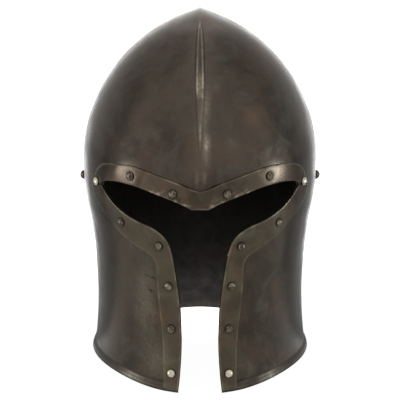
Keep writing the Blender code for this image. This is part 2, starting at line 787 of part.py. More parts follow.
KEEPER_Z, KEEPER_HEIGHT, KEEPER_WALL = 0.0960, 0.0080, 0.0013
LONG_OUTER_X, LONG_INNER_X = 0.0830, 0.0804
LONG_HANG = [
    (0.0908, 0.1270), (0.0858, 0.1120), (LONG_OUTER_X, 0.1010), (LONG_OUTER_X, 0.0780), (0.0828, 0.0520),
]  # fmt: skip
FREE_END = [
    (0.0763, 0.0480), (0.0775, 0.0660), (LONG_INNER_X, 0.0800), (LONG_INNER_X, 0.1030), (0.0800, 0.1120),
]  # fmt: skip
LONG_FOLD_X, LONG_FOLD_RADIUS = 0.0792, 0.0036
HOLE_X, HOLE_HEIGHTS = 0.0772, [0.0500, 0.0580, 0.0660, 0.0740]
HOLE_RADIUS, HOLE_REACH = 0.0014, 0.0027


def long_strap():
    """Hangs down the other cheek, doubled up so that its free end is tucked through a keeper."""
    fold = arc((LONG_FOLD_X, LONG_FOLD_Z), LONG_FOLD_RADIUS, 360, 180, 6)
    pivot = strap_pivot(LONG_SIDE)
    places = [(Vector((LONG_SIDE * HOLE_X, pivot.y, height)), ACROSS) for height in HOLE_HEIGHTS]
    holes = hole_tool("strap_holes_tool", places, HOLE_RADIUS, HOLE_REACH)
    return strap("chin_strap_long", LONG_SIDE, [*LONG_HANG, *fold, *FREE_END], [holes])


def keeper():
    """A leather loop round both layers of the long strap."""
    pivot = strap_pivot(LONG_SIDE)
    half_gap = STRAP_THICKNESS / 2 + GAP
    half_width_y = STRAP_WIDTH / 2 + GAP
    hole = [(LONG_INNER_X - half_gap, -half_width_y), (LONG_OUTER_X + half_gap, half_width_y)]
    bm = bmesh.new()
    outer, inner = [], []
    for x_end, y_end in ((0, 0), (1, 0), (1, 1), (0, 1)):
        x, y = hole[x_end][0], hole[y_end][1]
        away = Vector((1 if x_end else -1, 1 if y_end else -1)) * KEEPER_WALL
        columns = ((inner, Vector((x, y))), (outer, Vector((x, y)) + away))
        for grid, place in columns:
            foot = Vector((LONG_SIDE * place.x, pivot.y + place.y, KEEPER_Z - KEEPER_HEIGHT / 2))
            grid.append([foot, foot + Vector((0, 0, KEEPER_HEIGHT))])
    add_plate(bm, outer, inner, ring=True)
    return finish("strap_keeper", bm, strap_leather())


def buckle_frame():
    """A loop of round wire, whose top side is the bar that the strap and the prong turn on."""
    pivot_y = strap_pivot(SHORT_SIDE).y
    half, corner = BUCKLE_HALF_WIDTH, BUCKLE_CORNER
    loop = []
    for cy, cz, start in (
        (half - corner, BAR_Z - corner, 0),
        (-half + corner, BAR_Z - corner, 90),
        (-half + corner, BAR_Z - BUCKLE_HEIGHT + corner, 180),
        (half - corner, BAR_Z - BUCKLE_HEIGHT + corner, 270),
    ):
        loop += arc((cy, cz), corner, start, start + 90, 3)
    points = [Vector((BAR_X, pivot_y + y, z)) for y, z in loop]
    bm = bmesh.new()
    rings = []
    for i, point in enumerate(points):
        along = (points[(i + 1) % len(points)] - points[i - 1]).normalized()
        outward = along.cross(ACROSS)
        ring = []
        for k in range(ROUND_SIDES):
            turn = 2 * math.pi * (k + 0.5) / ROUND_SIDES
            offset = ACROSS * math.cos(turn) + outward * math.sin(turn)
            ring.append(bm.verts.new(point + offset * BUCKLE_WIRE_RADIUS))
        rings.append(ring)
    for i in range(len(rings)):
        a, b = rings[i], rings[(i + 1) % len(rings)]
        for k in range(ROUND_SIDES):
            n = (k + 1) % ROUND_SIDES
            bm.faces.new((a[k], a[n], b[n], b[k]))
    return finish("buckle_frame", bm, buckle_steel())


def buckle_prong():
    """A flat pin curled round the bar, whose point rests on the far side of the frame."""
    pivot_y = strap_pivot(SHORT_SIDE).y
    curl_radius = BUCKLE_WIRE_RADIUS + GAP + PRONG_THICKNESS / 2
    curl = arc((BAR_X, BAR_Z), curl_radius, -60, 200, 10)
    flat_x = BAR_X - curl_radius
    heights = (BAR_Z - 0.003, BAR_Z - 0.012, BAR_Z - BUCKLE_HEIGHT - PRONG_OVERHANG)
    path = [Vector((x, pivot_y, z)) for x, z in [*curl, *[(flat_x, z) for z in heights]]]
    bm = bmesh.new()
    add_strip(bm, path, (0, 1, 0), PRONG_WIDTH, PRONG_THICKNESS)
    return finish("buckle_prong", bm, buckle_steel())


# ---------------------------------------------------------------- the helmet


def build():
    both = (1, -1)
    brow = [p for side in both for p in on_front(BROW_RIVETS, side)]
    temples = [p for side in both for p in on_front(TEMPLE_RIVETS, side)]
    cheeks = {side: on_front(CHEEK_RIVETS, side) for side in both}
    sides = [p for side in both for p in on_wall([SIDE_RIVET_ANGLE], side)]
    rear = [p for side in both for p in on_wall(REAR_RIVET_ANGLES, side)]

    shell = shell_wall()
    cut(shell, face_tool())
    holes = [*brow, *temples, *cheeks[1], *cheeks[-1], *sides, *rear]
    cut(shell, hole_tool("shell_holes_tool", holes))

    over_brow = brow_band()
    cut(over_brow, hole_tool("brow_holes_tool", [*brow, *temples]))
    for side, name in ((1, "cheek_band_right"), (-1, "cheek_band_left")):
        plate = cheek_band(name, side)
        cut(plate, hole_tool(name + "_holes_tool", cheeks[side]))

    liner = liner_band()
    cut(liner, hole_tool("liner_holes_tool", [*brow, *sides, *rear]))
    for number in range(1, TONGUE_COUNT + 1):
        tongue(number)
    crown_patch()

    on_band = BAND_LIFT + BAND_THICKNESS + GAP
    liner_inside = -LINER_DEPTH - LEATHER_THICKNESS - GAP - FACET_SPACE
    under_washer = liner_inside - WASHER_THICKNESS - GAP
    strap_inside = -STRAP_DEPTH - STRAP_THICKNESS / 2 - GAP
    rivets("brow_rivet", brow, on_band, under_washer)
    rivets("temple_rivet", temples, on_band, -STEEL_INSIDE)
    rivets("cheek_rivet_right", cheeks[1], on_band, -STEEL_INSIDE)
    rivets("cheek_rivet_left", cheeks[-1], on_band, -STEEL_INSIDE)
    rivets("liner_rivet", rear, GAP, under_washer)
    under_strap_washer = strap_inside - WASHER_THICKNESS - GAP
    rivets("chin_strap_rivet", sides, GAP, under_strap_washer, SIDE_HEAD_RADIUS, SIDE_HEAD_HEIGHT)
    washers("liner_washer", [*brow, *rear], liner_inside)
    washers("chin_strap_washer", sides, strap_inside)

    pivot = strap_pivot(SHORT_SIDE)
    bar = Vector((BAR_X, pivot.y, BAR_Z))
    for made in (short_strap(), fold_rivet()):
        move_origin(made, pivot)
    for made in (buckle_frame(), buckle_prong()):
        move_origin(made, bar)
    for made in (long_strap(), keeper()):
        move_origin(made, strap_pivot(LONG_SIDE))


for old in list(bpy.data.objects):
    bpy.data.objects.remove(old)
build()
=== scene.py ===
"""The finished look of a barbute: an open-faced steel helmet with riveted bands and a leather liner.

Metres, +Z up, the face towards -Y. The plates follow the same surface as the CAD model's, from
outer_point() and front_point(), with finer meshes, rounded edges, dents and a worn patina.
"""

import math

import bmesh
import bpy
import numpy as np
from mathutils import Matrix, Vector, noise


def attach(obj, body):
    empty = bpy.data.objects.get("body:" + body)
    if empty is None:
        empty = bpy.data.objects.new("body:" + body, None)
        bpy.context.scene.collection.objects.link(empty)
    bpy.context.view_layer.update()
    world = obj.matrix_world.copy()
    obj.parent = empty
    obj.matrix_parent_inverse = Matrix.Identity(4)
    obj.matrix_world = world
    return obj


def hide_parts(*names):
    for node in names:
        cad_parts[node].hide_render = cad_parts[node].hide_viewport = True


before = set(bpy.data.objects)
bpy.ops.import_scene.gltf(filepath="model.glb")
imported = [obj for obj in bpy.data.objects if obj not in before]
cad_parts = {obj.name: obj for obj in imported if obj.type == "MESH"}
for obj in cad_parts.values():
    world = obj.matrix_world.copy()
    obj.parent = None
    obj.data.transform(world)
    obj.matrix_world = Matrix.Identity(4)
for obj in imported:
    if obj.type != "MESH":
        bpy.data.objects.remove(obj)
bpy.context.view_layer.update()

# ---------------------------------------------------------------- driving dimensions

HEIGHT = 0.303
MIDDLE_Y = -0.001724
CROWN_SETBACK = 0.006
WALL = 0.0016
BAND_TOP = 0.0017  # a band's outer face above the shell's
BAND_SETBACK = 0.0003
RIVET_RADIUS = 0.0036
RIVET_HEIGHT = 0.0023
SIDE_RIVET_RADIUS, SIDE_RIVET_HEIGHT = 0.0042, 0.0037
SHELL_SEAT = 0.0002  # under a rivet's head that lies on the shell itself
STEEL_INSIDE = 0.0024
SHANK_RADIUS = 0.0015
TAIL_RADIUS = 0.0026
TAIL_HEIGHT = 0.0009
WASHER_RADIUS = 0.0045
WASHER_THICKNESS = 0.0008
LINER_DEPTH = 0.0022
LEATHER = 0.0020
GAP = 0.0003
FACET_SPACE = 0.0006
LINER_BELOW, LINER_ABOVE = 0.0045, 0.0220
TONGUE_THICKNESS, TONGUE_LEAN, TONGUE_TOP = 0.0018, 1.5, 0.266
TONGUE_TIP_RADIUS, PATCH_RADIUS, PATCH_SAG = 0.013, 0.024, 0.0020
STRAP_WIDTH, STRAP_THICKNESS, STRAP_SPACE = 0.018, 0.0022, 0.0012
DEGREE = math.pi / 180

# ---------------------------------------------------------------- curves


def smooth_curve(points):
    """A monotone cubic through (position, value) points that takes arrays and holds its end values."""
    xs, ys = (np.array(c, float) for c in zip(*points))
    span = np.diff(xs)
    slope = np.diff(ys) / span
    before, after = slope[:-1], slope[1:]
    both = np.where(before * after > 0, before + after, 1.0)
    inner = np.where(before * after > 0, 2 * before * after / both, 0.0)
    tangent = np.concatenate([slope[:1], inner, slope[-1:]])

    def value(x):
        x = np.clip(x, xs[0], xs[-1])
        i = np.clip(np.searchsorted(xs, x, side="right") - 1, 0, len(xs) - 2)
        t = (x - xs[i]) / span[i]
        return (
            ys[i] * (1 + 2 * t) * (1 - t) ** 2
            + tangent[i] * span[i] * t * (1 - t) ** 2
            + ys[i + 1] * t * t * (3 - 2 * t)
            + tangent[i + 1] * span[i] * t * t * (t - 1)
        )

    return value


def eased(t):
    t = np.clip(t, 0.0, 1.0)
    return t * t * (3 - 2 * t)


def spline(points, per_span=8):
    """Points along a Catmull-Rom curve, as an array."""
    p = np.array(points, float)
    p = np.vstack([2 * p[0] - p[1], p, 2 * p[-1] - p[-2]])
    t = np.linspace(0, 1, per_span, endpoint=False)[:, None]
    spans = []
    for a, b, c, d in zip(p, p[1:], p[2:], p[3:]):
        cubic = (3 * b - a - 3 * c + d) * t**3
        spans.append(0.5 * (2 * b + (c - a) * t + (2 * a - 5 * b + 4 * c - d) * t**2 + cubic))
    return np.vstack([*spans, p[-2:-1]])


def evenly(points, count):
    """count points at even distances along a polyline."""
    steps = np.linalg.norm(np.diff(points, axis=0), axis=1)
    at = np.concatenate([[0], np.cumsum(steps)])
    wanted = np.linspace(0, at[-1], count)
    return np.stack([np.interp(wanted, at, points[:, k]) for k in range(points.shape[1])], axis=1)


def arc(centre, radius, start, end, steps):
    turns = np.linspace(start, end, steps + 1) * DEGREE
    return np.stack([centre[0] + radius * np.cos(turns), centre[1] + radius * np.sin(turns)], axis=1)


def mirrored(points):
    """A front-view line on the other side of the keel, in the opposite order."""
    return (np.array(points) * [-1, 1])[::-1]


# ---------------------------------------------------------------- shape of the bowl

half_width = smooth_curve(
    [
        (0.000, 0.0958), (0.003, 0.0950), (0.008, 0.0932), (0.018, 0.0919), (0.050, 0.0902),
        (0.090, 0.0915), (0.122, 0.0950), (0.140, 0.0986), (0.162, 0.1011), (0.182, 0.1009),
        (0.205, 0.0972), (0.230, 0.0876), (0.255, 0.0719), (0.275, 0.0522), (0.290, 0.0302),
        (HEIGHT, 0.0),
    ]
)  # fmt: skip
FRONT_REACH = [
    (0.000, 0.1200), (0.008, 0.1180), (0.040, 0.1170), (0.090, 0.1185), (0.150, 0.1205),
    (0.175, 0.1200), (0.200, 0.1155), (0.225, 0.1055), (0.250, 0.0885), (0.270, 0.0685),
    (0.285, 0.0485), (0.296, 0.0275),
]  # fmt: skip
REAR_REACH = [
    (0.000, 0.1130), (0.008, 0.1100), (0.045, 0.1050), (0.090, 0.1085), (0.140, 0.1185),
    (0.175, 0.1220), (0.200, 0.1185), (0.225, 0.1080), (0.250, 0.0905), (0.270, 0.0700),
    (0.285, 0.0498), (0.296, 0.0284),
]  # fmt: skip
plan_power = smooth_curve([(0.0, 1.72), (0.120, 1.72), (0.180, 1.75), (0.250, 1.60), (HEIGHT, 1.25)])
ARCH_RISE, ARCH_FRONT, ARCH_REAR, ARCH_SIDE, ARCH_FADE = 0.0045, 0.028, 0.045, 0.088, 0.060


def reach_curve(points):
    lower = smooth_curve(points)
    cap_from, cap_reach = points[-1]

    def value(height):
        cap = cap_reach * np.sqrt(np.maximum(0, (HEIGHT - height) / (HEIGHT - cap_from)))
        return np.where(height <= cap_from, lower(height), cap)

    return value


front_reach = reach_curve(FRONT_REACH)
rear_reach = reach_curve(REAR_REACH)


def section_centre(height):
    return MIDDLE_Y + CROWN_SETBACK * (height / HEIGHT) ** 2


def rim_arch(x, height, in_front):
    start = np.where(in_front, ARCH_FRONT, ARCH_REAR)
    aside = eased((np.abs(x) - start) / (ARCH_SIDE - start))
    return ARCH_RISE * aside * np.maximum(0, 1 - height / ARCH_FADE) ** 2


def outer_point(angle, height):
    """The outer face at a plan angle, 0 at the front and a quarter turn at +X, and a height above the rim."""
    angle, height = np.broadcast_arrays(np.asarray(angle, float), np.asarray(height, float))
    across, along = np.sin(angle), -np.cos(angle)
    x = np.sign(across) * np.abs(across) ** (2 / plan_power(height)) * half_width(height)
    reach = np.where(along < 0, front_reach(height), rear_reach(height))
    y = section_centre(height) + reach * along
    return np.stack([x, y, height + rim_arch(x, height, along < 0)], axis=-1)


def unit(v):
    return v / np.linalg.norm(v, axis=-1, keepdims=True)


def outer_normal(angle, height):
    turn, climb = 0.01, 0.0005
    low, high = np.maximum(0, height - climb), np.minimum(HEIGHT, height + climb)
    sideways = outer_point(angle + turn, height) - outer_point(angle - turn, height)
    upwards = outer_point(angle, high) - outer_point(angle, low)
    return unit(np.cross(sideways, upwards))


def wall_point(angle, height, lift=0.0):
    angle, height = np.asarray(angle, float), np.asarray(height, float)
    return outer_point(angle, height) + outer_normal(angle, height) * np.asarray(lift)[..., None]


def front_y(x, z):
    """Depth of the outer face at a place in the front view."""
    height = z
    for _ in range(6):
        height = z - rim_arch(x, height, True)
    height = np.maximum(0, height)
    share = np.minimum(1, np.abs(x) / half_width(height)) ** plan_power(height)
    return section_centre(height) - front_reach(height) * np.sqrt(np.maximum(0, 1 - share))


def front_normal(x, z):
    step = 0.0005
    across = front_y(x + step, z) - front_y(x - step, z)
    upright = front_y(x, z + step) - front_y(x, z - step)
    zero, both = np.zeros_like(across), np.full_like(across, 2 * step)
    return unit(np.cross(np.stack([both, across, zero], -1), np.stack([zero, upright, both], -1)))


def front_point(x, z, lift=0.0):
    x, z = np.asarray(x, float), np.asarray(z, float)
    return np.stack([x, front_y(x, z), z], -1) + front_normal(x, z) * np.asarray(lift)[..., None]


# ---------------------------------------------------------------- outlines in the front view, (x, z), +X half

NOSE_HALF_WIDTH = 0.0065
BROW_EDGE = [
    (0.0065, 0.1558), (0.0160, 0.1603), (0.0320, 0.1654), (0.0480, 0.1696), (0.0600, 0.1710),
    (0.0700, 0.1706), (0.0770, 0.1690),
]  # fmt: skip
EYE_CORNER = [(0.0795, 0.1672), (0.0800, 0.1650)]
CHEEK_EDGE = [
    (0.0785, 0.1620), (0.0740, 0.1562), (0.0680, 0.1510), (0.0600, 0.1460), (0.0500, 0.1420),
    (0.0400, 0.1393), (0.0335, 0.1362), (0.0280, 0.1318), (0.0240, 0.1250), (0.0215, 0.1160),
    (0.0186, 0.0985), (0.0161, 0.0780), (0.0151, 0.0580), (0.0149, 0.0430), (0.0154, 0.0280),
    (0.0166, 0.0120), (0.0180, 0.0000),
]  # fmt: skip
BROW_BAND_TOP = [
    (0.0000, 0.1710), (0.0040, 0.1719), (0.0080, 0.1733), (0.0160, 0.1765), (0.0320, 0.1811),
    (0.0480, 0.1850), (0.0580, 0.1862), (0.0700, 0.1853), (0.0785, 0.1828), (0.0836, 0.1777),
    (0.0868, 0.1702), (0.0890, 0.1625),
]  # fmt: skip
BROW_BAND_END, CHEEK_BAND_START, CHEEK_BAND_END = (0.0808, 0.1652), (0.0806, 0.1647), (0.0179, 0.0018)
CHEEK_BAND_OUTSIDE = [
    (0.0894, 0.1620), (0.0875, 0.1530), (0.0835, 0.1462), (0.0785, 0.1408), (0.0720, 0.1350),
    (0.0640, 0.1275), (0.0530, 0.1212), (0.0435, 0.1168), (0.0378, 0.1132), (0.0350, 0.1075),
    (0.0344, 0.0980), (0.0340, 0.0860), (0.0324, 0.0680), (0.0304, 0.0500), (0.0297, 0.0320),
    (0.0296, 0.0150), (0.0294, 0.0030),
]  # fmt: skip

rivet_row = smooth_curve(
    [
        (0, 0.1675), (8, 0.1680), (28, 0.1780), (40, 0.1775), (52, 0.1768), (62, 0.1735),
        (75, 0.1650), (84, 0.1590), (96, 0.1565), (120, 0.1560), (180, 0.1560),
    ]
)  # fmt: skip
BROW_RIVETS = [(0.0213, 0.1681), (0.0554, 0.1783)]
TEMPLE_RIVETS = [(0.0849, 0.1658)]
CHEEK_RIVETS = [(0.0637, 0.1376), (0.0327, 0.1235), (0.0250, 0.0904), (0.0230, 0.0541), (0.0231, 0.0157)]
SIDE_ANGLE = 90 * DEGREE
REAR_ANGLES = [a * DEGREE for a in (114, 140, 167)]


def rivet_line(angle):
    turned = np.abs(np.arctan2(np.sin(angle), np.cos(angle))) / DEGREE
    return rivet_row(turned)


def set_back(points, distance):
    """A 2-D line moved away from the opening, which lies on its left."""
    along = np.gradient(np.array(points, float), axis=0)
    away = unit(np.stack([along[:, 1], -along[:, 0]], axis=1))
    return np.array(points) + away * distance


def on_front(places, side):
    return [(front_point(side * x, z), front_normal(np.float64(side * x), np.float64(z))) for x, z in places]


def on_wall(angles, side):
    return [(outer_point(side * a, rivet_line(a)), outer_normal(side * a, rivet_line(a))) for a in angles]


both = (1, -1)
brow_places = [p for side in both for p in on_front(BROW_RIVETS, side)]
temple_places = [p for side in both for p in on_front(TEMPLE_RIVETS, side)]
cheek_places = {side: on_front(CHEEK_RIVETS, side) for side in both}
side_places = [p for side in both for p in on_wall([SIDE_ANGLE], side)]
rear_places = [p for side in both for p in on_wall(REAR_ANGLES, side)]
all_places = [*brow_places, *temple_places, *cheek_places[1], *cheek_places[-1], *side_places, *rear_places]
rivet_points = np.array([p for p, _ in all_places])

# ---------------------------------------------------------------- mesh helpers


def add_object(name, points, faces, skins, body="helmet", material_slot=None, stands_for=(), smooth=35):
    mesh = bpy.data.meshes.new(name)
    mesh.from_pydata([tuple(map(float, p)) for p in points], [], [tuple(map(int, f)) for f in faces])
    for skin in skins:
        mesh.materials.append(skin)
    tidy = bmesh.new()
    tidy.from_mesh(mesh)
    bmesh.ops.recalc_face_normals(tidy, faces=tidy.faces)
    tidy.to_mesh(mesh)
    tidy.free()
    mesh.shade_smooth()
    if smooth:
        mesh.set_sharp_from_angle(angle=math.radians(smooth))
    made = bpy.data.objects.new(name, mesh)
    bpy.context.scene.collection.objects.link(made)
    if body:
        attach(made, body)
        if stands_for:
            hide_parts(*stands_for)
    return made


def set_marks(mesh, *columns):
    """Stores per-point masks that the materials read, each 0 to 1: paler marks (worn places, and on the steel
    painted highlights and reflections too), darker marks (mostly painted shade, with some dirt), tint and
    rust.
    """
    marks = np.zeros((len(mesh.vertices), 4), np.float32)
    for k, column in enumerate(columns):
        marks[:, k] = column
    layer = mesh.attributes.new("marks", "FLOAT_COLOR", "POINT")
    layer.data.foreach_set("color", marks.ravel())


def places_of(mesh):
    points = np.empty(len(mesh.vertices) * 3, np.float32)
    mesh.vertices.foreach_get("co", points)
    return points.reshape(-1, 3).astype(float)


def joined(parts):
    """Several (points, faces) as one."""
    points, faces, base = [], [], 0
    for p, f in parts:
        points.extend(p)
        faces.extend([tuple(i + base for i in face) for face in f])
        base += len(p)
    return points, faces


def lattice(columns, rows, closed_columns=False, closed_rows=False, base=0):
    """Quads over a grid of points stored column by column."""
    faces = []
    for i in range(columns if closed_columns else columns - 1):
        k = (i + 1) % columns
        for j in range(rows if closed_rows else rows - 1):
            n = (j + 1) % rows
            faces.append((base + i * rows + j, base + k * rows + j, base + k * rows + n, base + i * rows + n))
    return faces


def swept(sections, closed=False):
    """A solid through matching closed sections, an array of (section, point, xyz)."""
    count, rows = sections.shape[:2]
    faces = lattice(count, rows, closed_columns=closed, closed_rows=True)
    if not closed:
        faces += [tuple(range(rows)), tuple((count - 1) * rows + j for j in reversed(range(rows)))]
    return sections.reshape(-1, 3), faces


def turned_solid(profile, place, sides=28):
    """A solid turned about a place's normal from (radius, height) points, closed on its axis or as a ring."""
    point, normal = (Vector(map(float, v)) for v in place)
    stand = Matrix.Translation(point) @ normal.to_track_quat("Z", "X").to_matrix().to_4x4()
    turns = np.arange(sides) * 2 * math.pi / sides
    points, rings = [], []
    for radius, height in profile:
        if radius == 0:
            rings.append([len(points)])
            points.append(stand @ Vector((0, 0, height)))
            continue
        rings.append(list(range(len(points), len(points) + sides)))
        points += [stand @ Vector((radius * math.cos(t), radius * math.sin(t), height)) for t in turns]
    if len(rings[0]) > 1:
        rings.append(rings[0])
    faces = []
    for a, b in zip(rings, rings[1:]):
        for k in range(sides):
            n = (k + 1) % sides
            corners = (a[k % len(a)], a[n % len(a)], b[n % len(b)], b[k % len(b)])
            faces.append(tuple(dict.fromkeys(corners)))
    return points, faces


def cut(target, points, faces):
    """Cuts a closed shape out of a piece for good."""
    tool = add_object("tool", points, faces, target.data.materials[:1], body=None)
    boolean = target.modifiers.new("cut", "BOOLEAN")
    boolean.operation = "DIFFERENCE"
    boolean.solver = "EXACT"
    boolean.object = tool
    graph = bpy.context.evaluated_depsgraph_get()
    done = bpy.data.meshes.new_from_object(target.evaluated_get(graph), depsgraph=graph)
    target.modifiers.clear()
    target.data = done
    bpy.data.objects.remove(tool)


def cut_prism(target, near, far):
    """Cuts the prism between two matching outlines out of a piece."""
    size = len(near)
    walls = [(k, (k + 1) % size, size + (k + 1) % size, size + k) for k in range(size)]
    ends = [tuple(range(size)), tuple(range(2 * size - 1, size - 1, -1))]
    cut(target, np.vstack([near, far]), [*ends, *walls])


def resharpen(made, degrees):
    made.data.shade_smooth()
    made.data.set_sharp_from_angle(angle=degrees * DEGREE)


# ---------------------------------------------------------------- materials


class Tree:
    """Short names for building a node tree."""

    def __init__(self, tree):
        self.tree = tree

    def add(self, kind, **settings):
        node = self.tree.nodes.new(kind)
        for key, value in settings.items():
            setattr(node, key, value)
        return node

    def link(self, source, socket):
        if isinstance(source, (int, float)):
            socket.default_value = source
        elif isinstance(source, tuple):
            socket.default_value = (*source, 1.0)[: len(socket.default_value)]
        else:
            self.tree.links.new(source, socket)

    def ramp(self, source, low, high, to_low=0.0, to_high=1.0):
        node = self.add("ShaderNodeMapRange", interpolation_type="SMOOTHSTEP")
        self.link(source, node.inputs["Value"])
        for key, value in zip(("From Min", "From Max", "To Min", "To Max"), (low, high, to_low, to_high)):
            node.inputs[key].default_value = value
        return node.outputs["Result"]

    def math(self, operation, a, b=0.0):
        node = self.add("ShaderNodeMath", operation=operation)
        self.link(a, node.inputs[0])
        self.link(b, node.inputs[1])
        return node.outputs[0]

    def times(self, a, b):
        return self.math("MULTIPLY", a, b)


class Nodes(Tree):
    """The nodes of one material, in the object's own coordinates."""

    def __init__(self, name):
        self.material = bpy.data.materials.new(name)
        self.material.use_nodes = True
        super().__init__(self.material.node_tree)
        self.shader = self.tree.nodes["Principled BSDF"]
        self.place = self.add("ShaderNodeTexCoord").outputs["Object"]

    def stretched(self, scale):
        mapping = self.add("ShaderNodeMapping")
        self.link(self.place, mapping.inputs["Vector"])
        mapping.inputs["Scale"].default_value = scale
        return mapping.outputs["Vector"]

    def noise(self, scale, detail=4.0, rough=0.55, distort=0.0, at=None):
        node = self.add("ShaderNodeTexNoise")
        self.link(at or self.place, node.inputs["Vector"])
        node.inputs["Scale"].default_value = scale
        node.inputs["Detail"].default_value = detail
        node.inputs["Roughness"].default_value = rough
        node.inputs["Distortion"].default_value = distort
        return node.outputs["Fac"]

    def cells(self, scale, feature="F1"):
        node = self.add("ShaderNodeTexVoronoi", feature=feature)
        self.link(self.place, node.inputs["Vector"])
        node.inputs["Scale"].default_value = scale
        return node.outputs["Distance"]

    def mix(self, share, a, b):
        node = self.add("ShaderNodeMix", data_type="RGBA")
        self.link(share, node.inputs["Factor"])
        self.link(a, node.inputs[6])
        self.link(b, node.inputs[7])
        return node.outputs[2]

    def bump(self, height, strength, distance, after=None):
        node = self.add("ShaderNodeBump")
        self.link(height, node.inputs["Height"])
        node.inputs["Strength"].default_value = strength
        node.inputs["Distance"].default_value = distance
        if after is not None:
            self.link(after, node.inputs["Normal"])
        return node.outputs["Normal"]

    def along(self, direction, start=0.0):
        node = self.add("ShaderNodeVectorMath", operation="DOT_PRODUCT")
        self.link(self.place, node.inputs[0])
        node.inputs[1].default_value = direction
        return self.math("SUBTRACT", node.outputs["Value"], start)

    def scratch(self, start, end, half):
        """A thin ragged line on the front between two (x, z) places, 1 on it and 0 outside."""
        dx, dz = end[0] - start[0], end[1] - start[1]
        length = math.hypot(dx, dz)
        dx, dz = dx / length, dz / length
        run = self.along((dx, 0, dz), dx * start[0] + dz * start[1])
        off = self.along((-dz, 0, dx), dx * start[1] - dz * start[0])
        off = self.math("ADD", off, self.ramp(self.noise(260, 3), 0.2, 0.8, -0.0012, 0.0012))
        line = self.ramp(self.math("ABSOLUTE", off), 0.4 * half, 1.2 * half, 1.0, 0.0)
        ends = self.times(self.ramp(run, 0.0, 0.002), self.ramp(run, length - 0.002, length, 1.0, 0.0))
        front = self.ramp(self.along((0, 1, 0)), -0.03, -0.02, 0.85, 0.0)
        return self.times(self.times(line, ends), front)

    def marks(self):
        attribute = self.add("ShaderNodeAttribute", attribute_name="marks")
        split = self.add("ShaderNodeSeparateColor")
        self.link(attribute.outputs["Color"], split.inputs["Color"])
        return [*split.outputs, attribute.outputs["Alpha"]]

    def finish(self, colour, roughness, metallic, normal=None):
        self.link(colour, self.shader.inputs["Base Color"])
        self.link(roughness, self.shader.inputs["Roughness"])
        self.link(metallic, self.shader.inputs["Metallic"])
        if normal is not None:
            self.link(normal, self.shader.inputs["Normal"])
        return self.material


BROWN, DARK = (0.084, 0.067, 0.053), (0.049, 0.041, 0.034)
OLIVE, RED_BROWN = (0.084, 0.080, 0.064), (0.090, 0.064, 0.050)
COPPER, RUST = (0.180, 0.100, 0.064), (0.096, 0.044, 0.028)
# The pale colour below is bare metal, and also the colour of painted highlights and reflections; the
# near-black one is dirt, and also the colour of painted shade.
BARE_AND_SHEEN, SHADE_AND_GRIME = (0.460, 0.395, 0.310), (0.010, 0.008, 0.007)


def patinated_steel(name, tone, low_tone, scratches=()):
    """Hand-raised steel, browned and waxed, with soft blotches, faint lines, specks and worn edges, and with
    painted highlights, reflections and shade from its masks.
    """
    n = Nodes(name)
    pale_mask, shade_and_grime, tint, rust = n.marks()
    blotch = n.noise(34, 6, 0.62, 1.2)
    lines = n.noise(90, 4, 0.6, 0.2, at=n.stretched((1.0, 1.0, 0.10)))
    colour = n.mix(n.ramp(n.noise(11, 5, 0.6, 0.6), 0.34, 0.66), BROWN, DARK)
    colour = n.mix(n.ramp(blotch, 0.46, 0.66, 0.0, 0.75), colour, OLIVE)
    colour = n.mix(n.ramp(n.noise(21, 5, 0.6, 0.8), 0.48, 0.66, 0.0, 0.75), colour, RED_BROWN)
    colour = n.mix(n.ramp(n.noise(240, 6, 0.6), 0.30, 0.70, 0.0, 0.22), colour, DARK)
    colour = n.mix(n.times(tint, n.ramp(n.noise(70, 4), 0.30, 0.60, 0.5, 1.0)), colour, COPPER)
    rusted = n.times(rust, n.ramp(n.noise(160, 5), 0.40, 0.60))
    colour = n.mix(rusted, colour, RUST)
    sparse = n.ramp(n.noise(60, 3), 0.56, 0.66, 0.0, 0.22)
    specks = n.times(n.ramp(n.cells(210), 0.05, 0.12, 1.0, 0.0), sparse)
    colour = n.mix(specks, colour, BARE_AND_SHEEN)
    patchy = n.ramp(n.noise(420, 4, 0.6), 0.34, 0.66, 0.60, 1.15)
    # Paler marks: worn places, and on the bowl and bands also painted highlights and reflections.
    colour = n.mix(n.times(pale_mask, patchy), colour, BARE_AND_SHEEN)
    # Darker marks: mostly painted shade, in creases, under the rim, round the rivet heads and along the
    # bands' edges, with some dirt and darker patches.
    colour = n.mix(n.times(shade_and_grime, 0.85), colour, SHADE_AND_GRIME)
    for start, end, half in scratches:
        colour = n.mix(n.scratch(start, end, half), colour, SHADE_AND_GRIME)
    toned = n.add("ShaderNodeMix", data_type="RGBA", blend_type="MULTIPLY")
    toned.inputs["Factor"].default_value = 1.0
    n.link(colour, toned.inputs[6])
    n.link(n.mix(n.ramp(n.along((0, 0, 1)), 0.12, 0.17), low_tone, tone), toned.inputs[7])
    rough = n.math("ADD", n.ramp(blotch, 0.30, 0.72, 0.20, 0.34), n.ramp(lines, 0.30, 0.70, -0.04, 0.04))
    rough = n.math("ADD", rough, n.times(rusted, 0.25))
    rough = n.math("ADD", rough, n.times(shade_and_grime, 0.25))
    dents = n.bump(n.noise(30, 2, 0.4), 0.35, 0.0012)
    grain = n.bump(n.noise(700, 5, 0.65), 0.10, 0.0002, dents)
    pits = n.bump(n.ramp(n.cells(330), 0.0, 0.22), 0.16, 0.0002, grain)
    drawn = n.bump(lines, 0.06, 0.0004, pits)
    return n.finish(toned.outputs[2], rough, n.math("SUBTRACT", 1.0, n.times(rusted, 0.5)), drawn)


def inner_steel():
    """The unpolished inside of the bowl, made nearly black, partly as painted shade for the inside of the
    bowl.
    """
    n = Nodes("inner_steel")
    colour = n.mix(n.ramp(n.noise(40, 6, 0.6, 0.8), 0.40, 0.66), (0.007, 0.006, 0.005), (0.018, 0.012, 0.009))
    hammered = n.bump(n.cells(95, "SMOOTH_F1"), 0.30, 0.0012)
    grain = n.bump(n.noise(500, 4), 0.2, 0.0003, hammered)
    return n.finish(colour, n.ramp(n.noise(120), 0.3, 0.7, 0.60, 0.80), 0.4, grain)


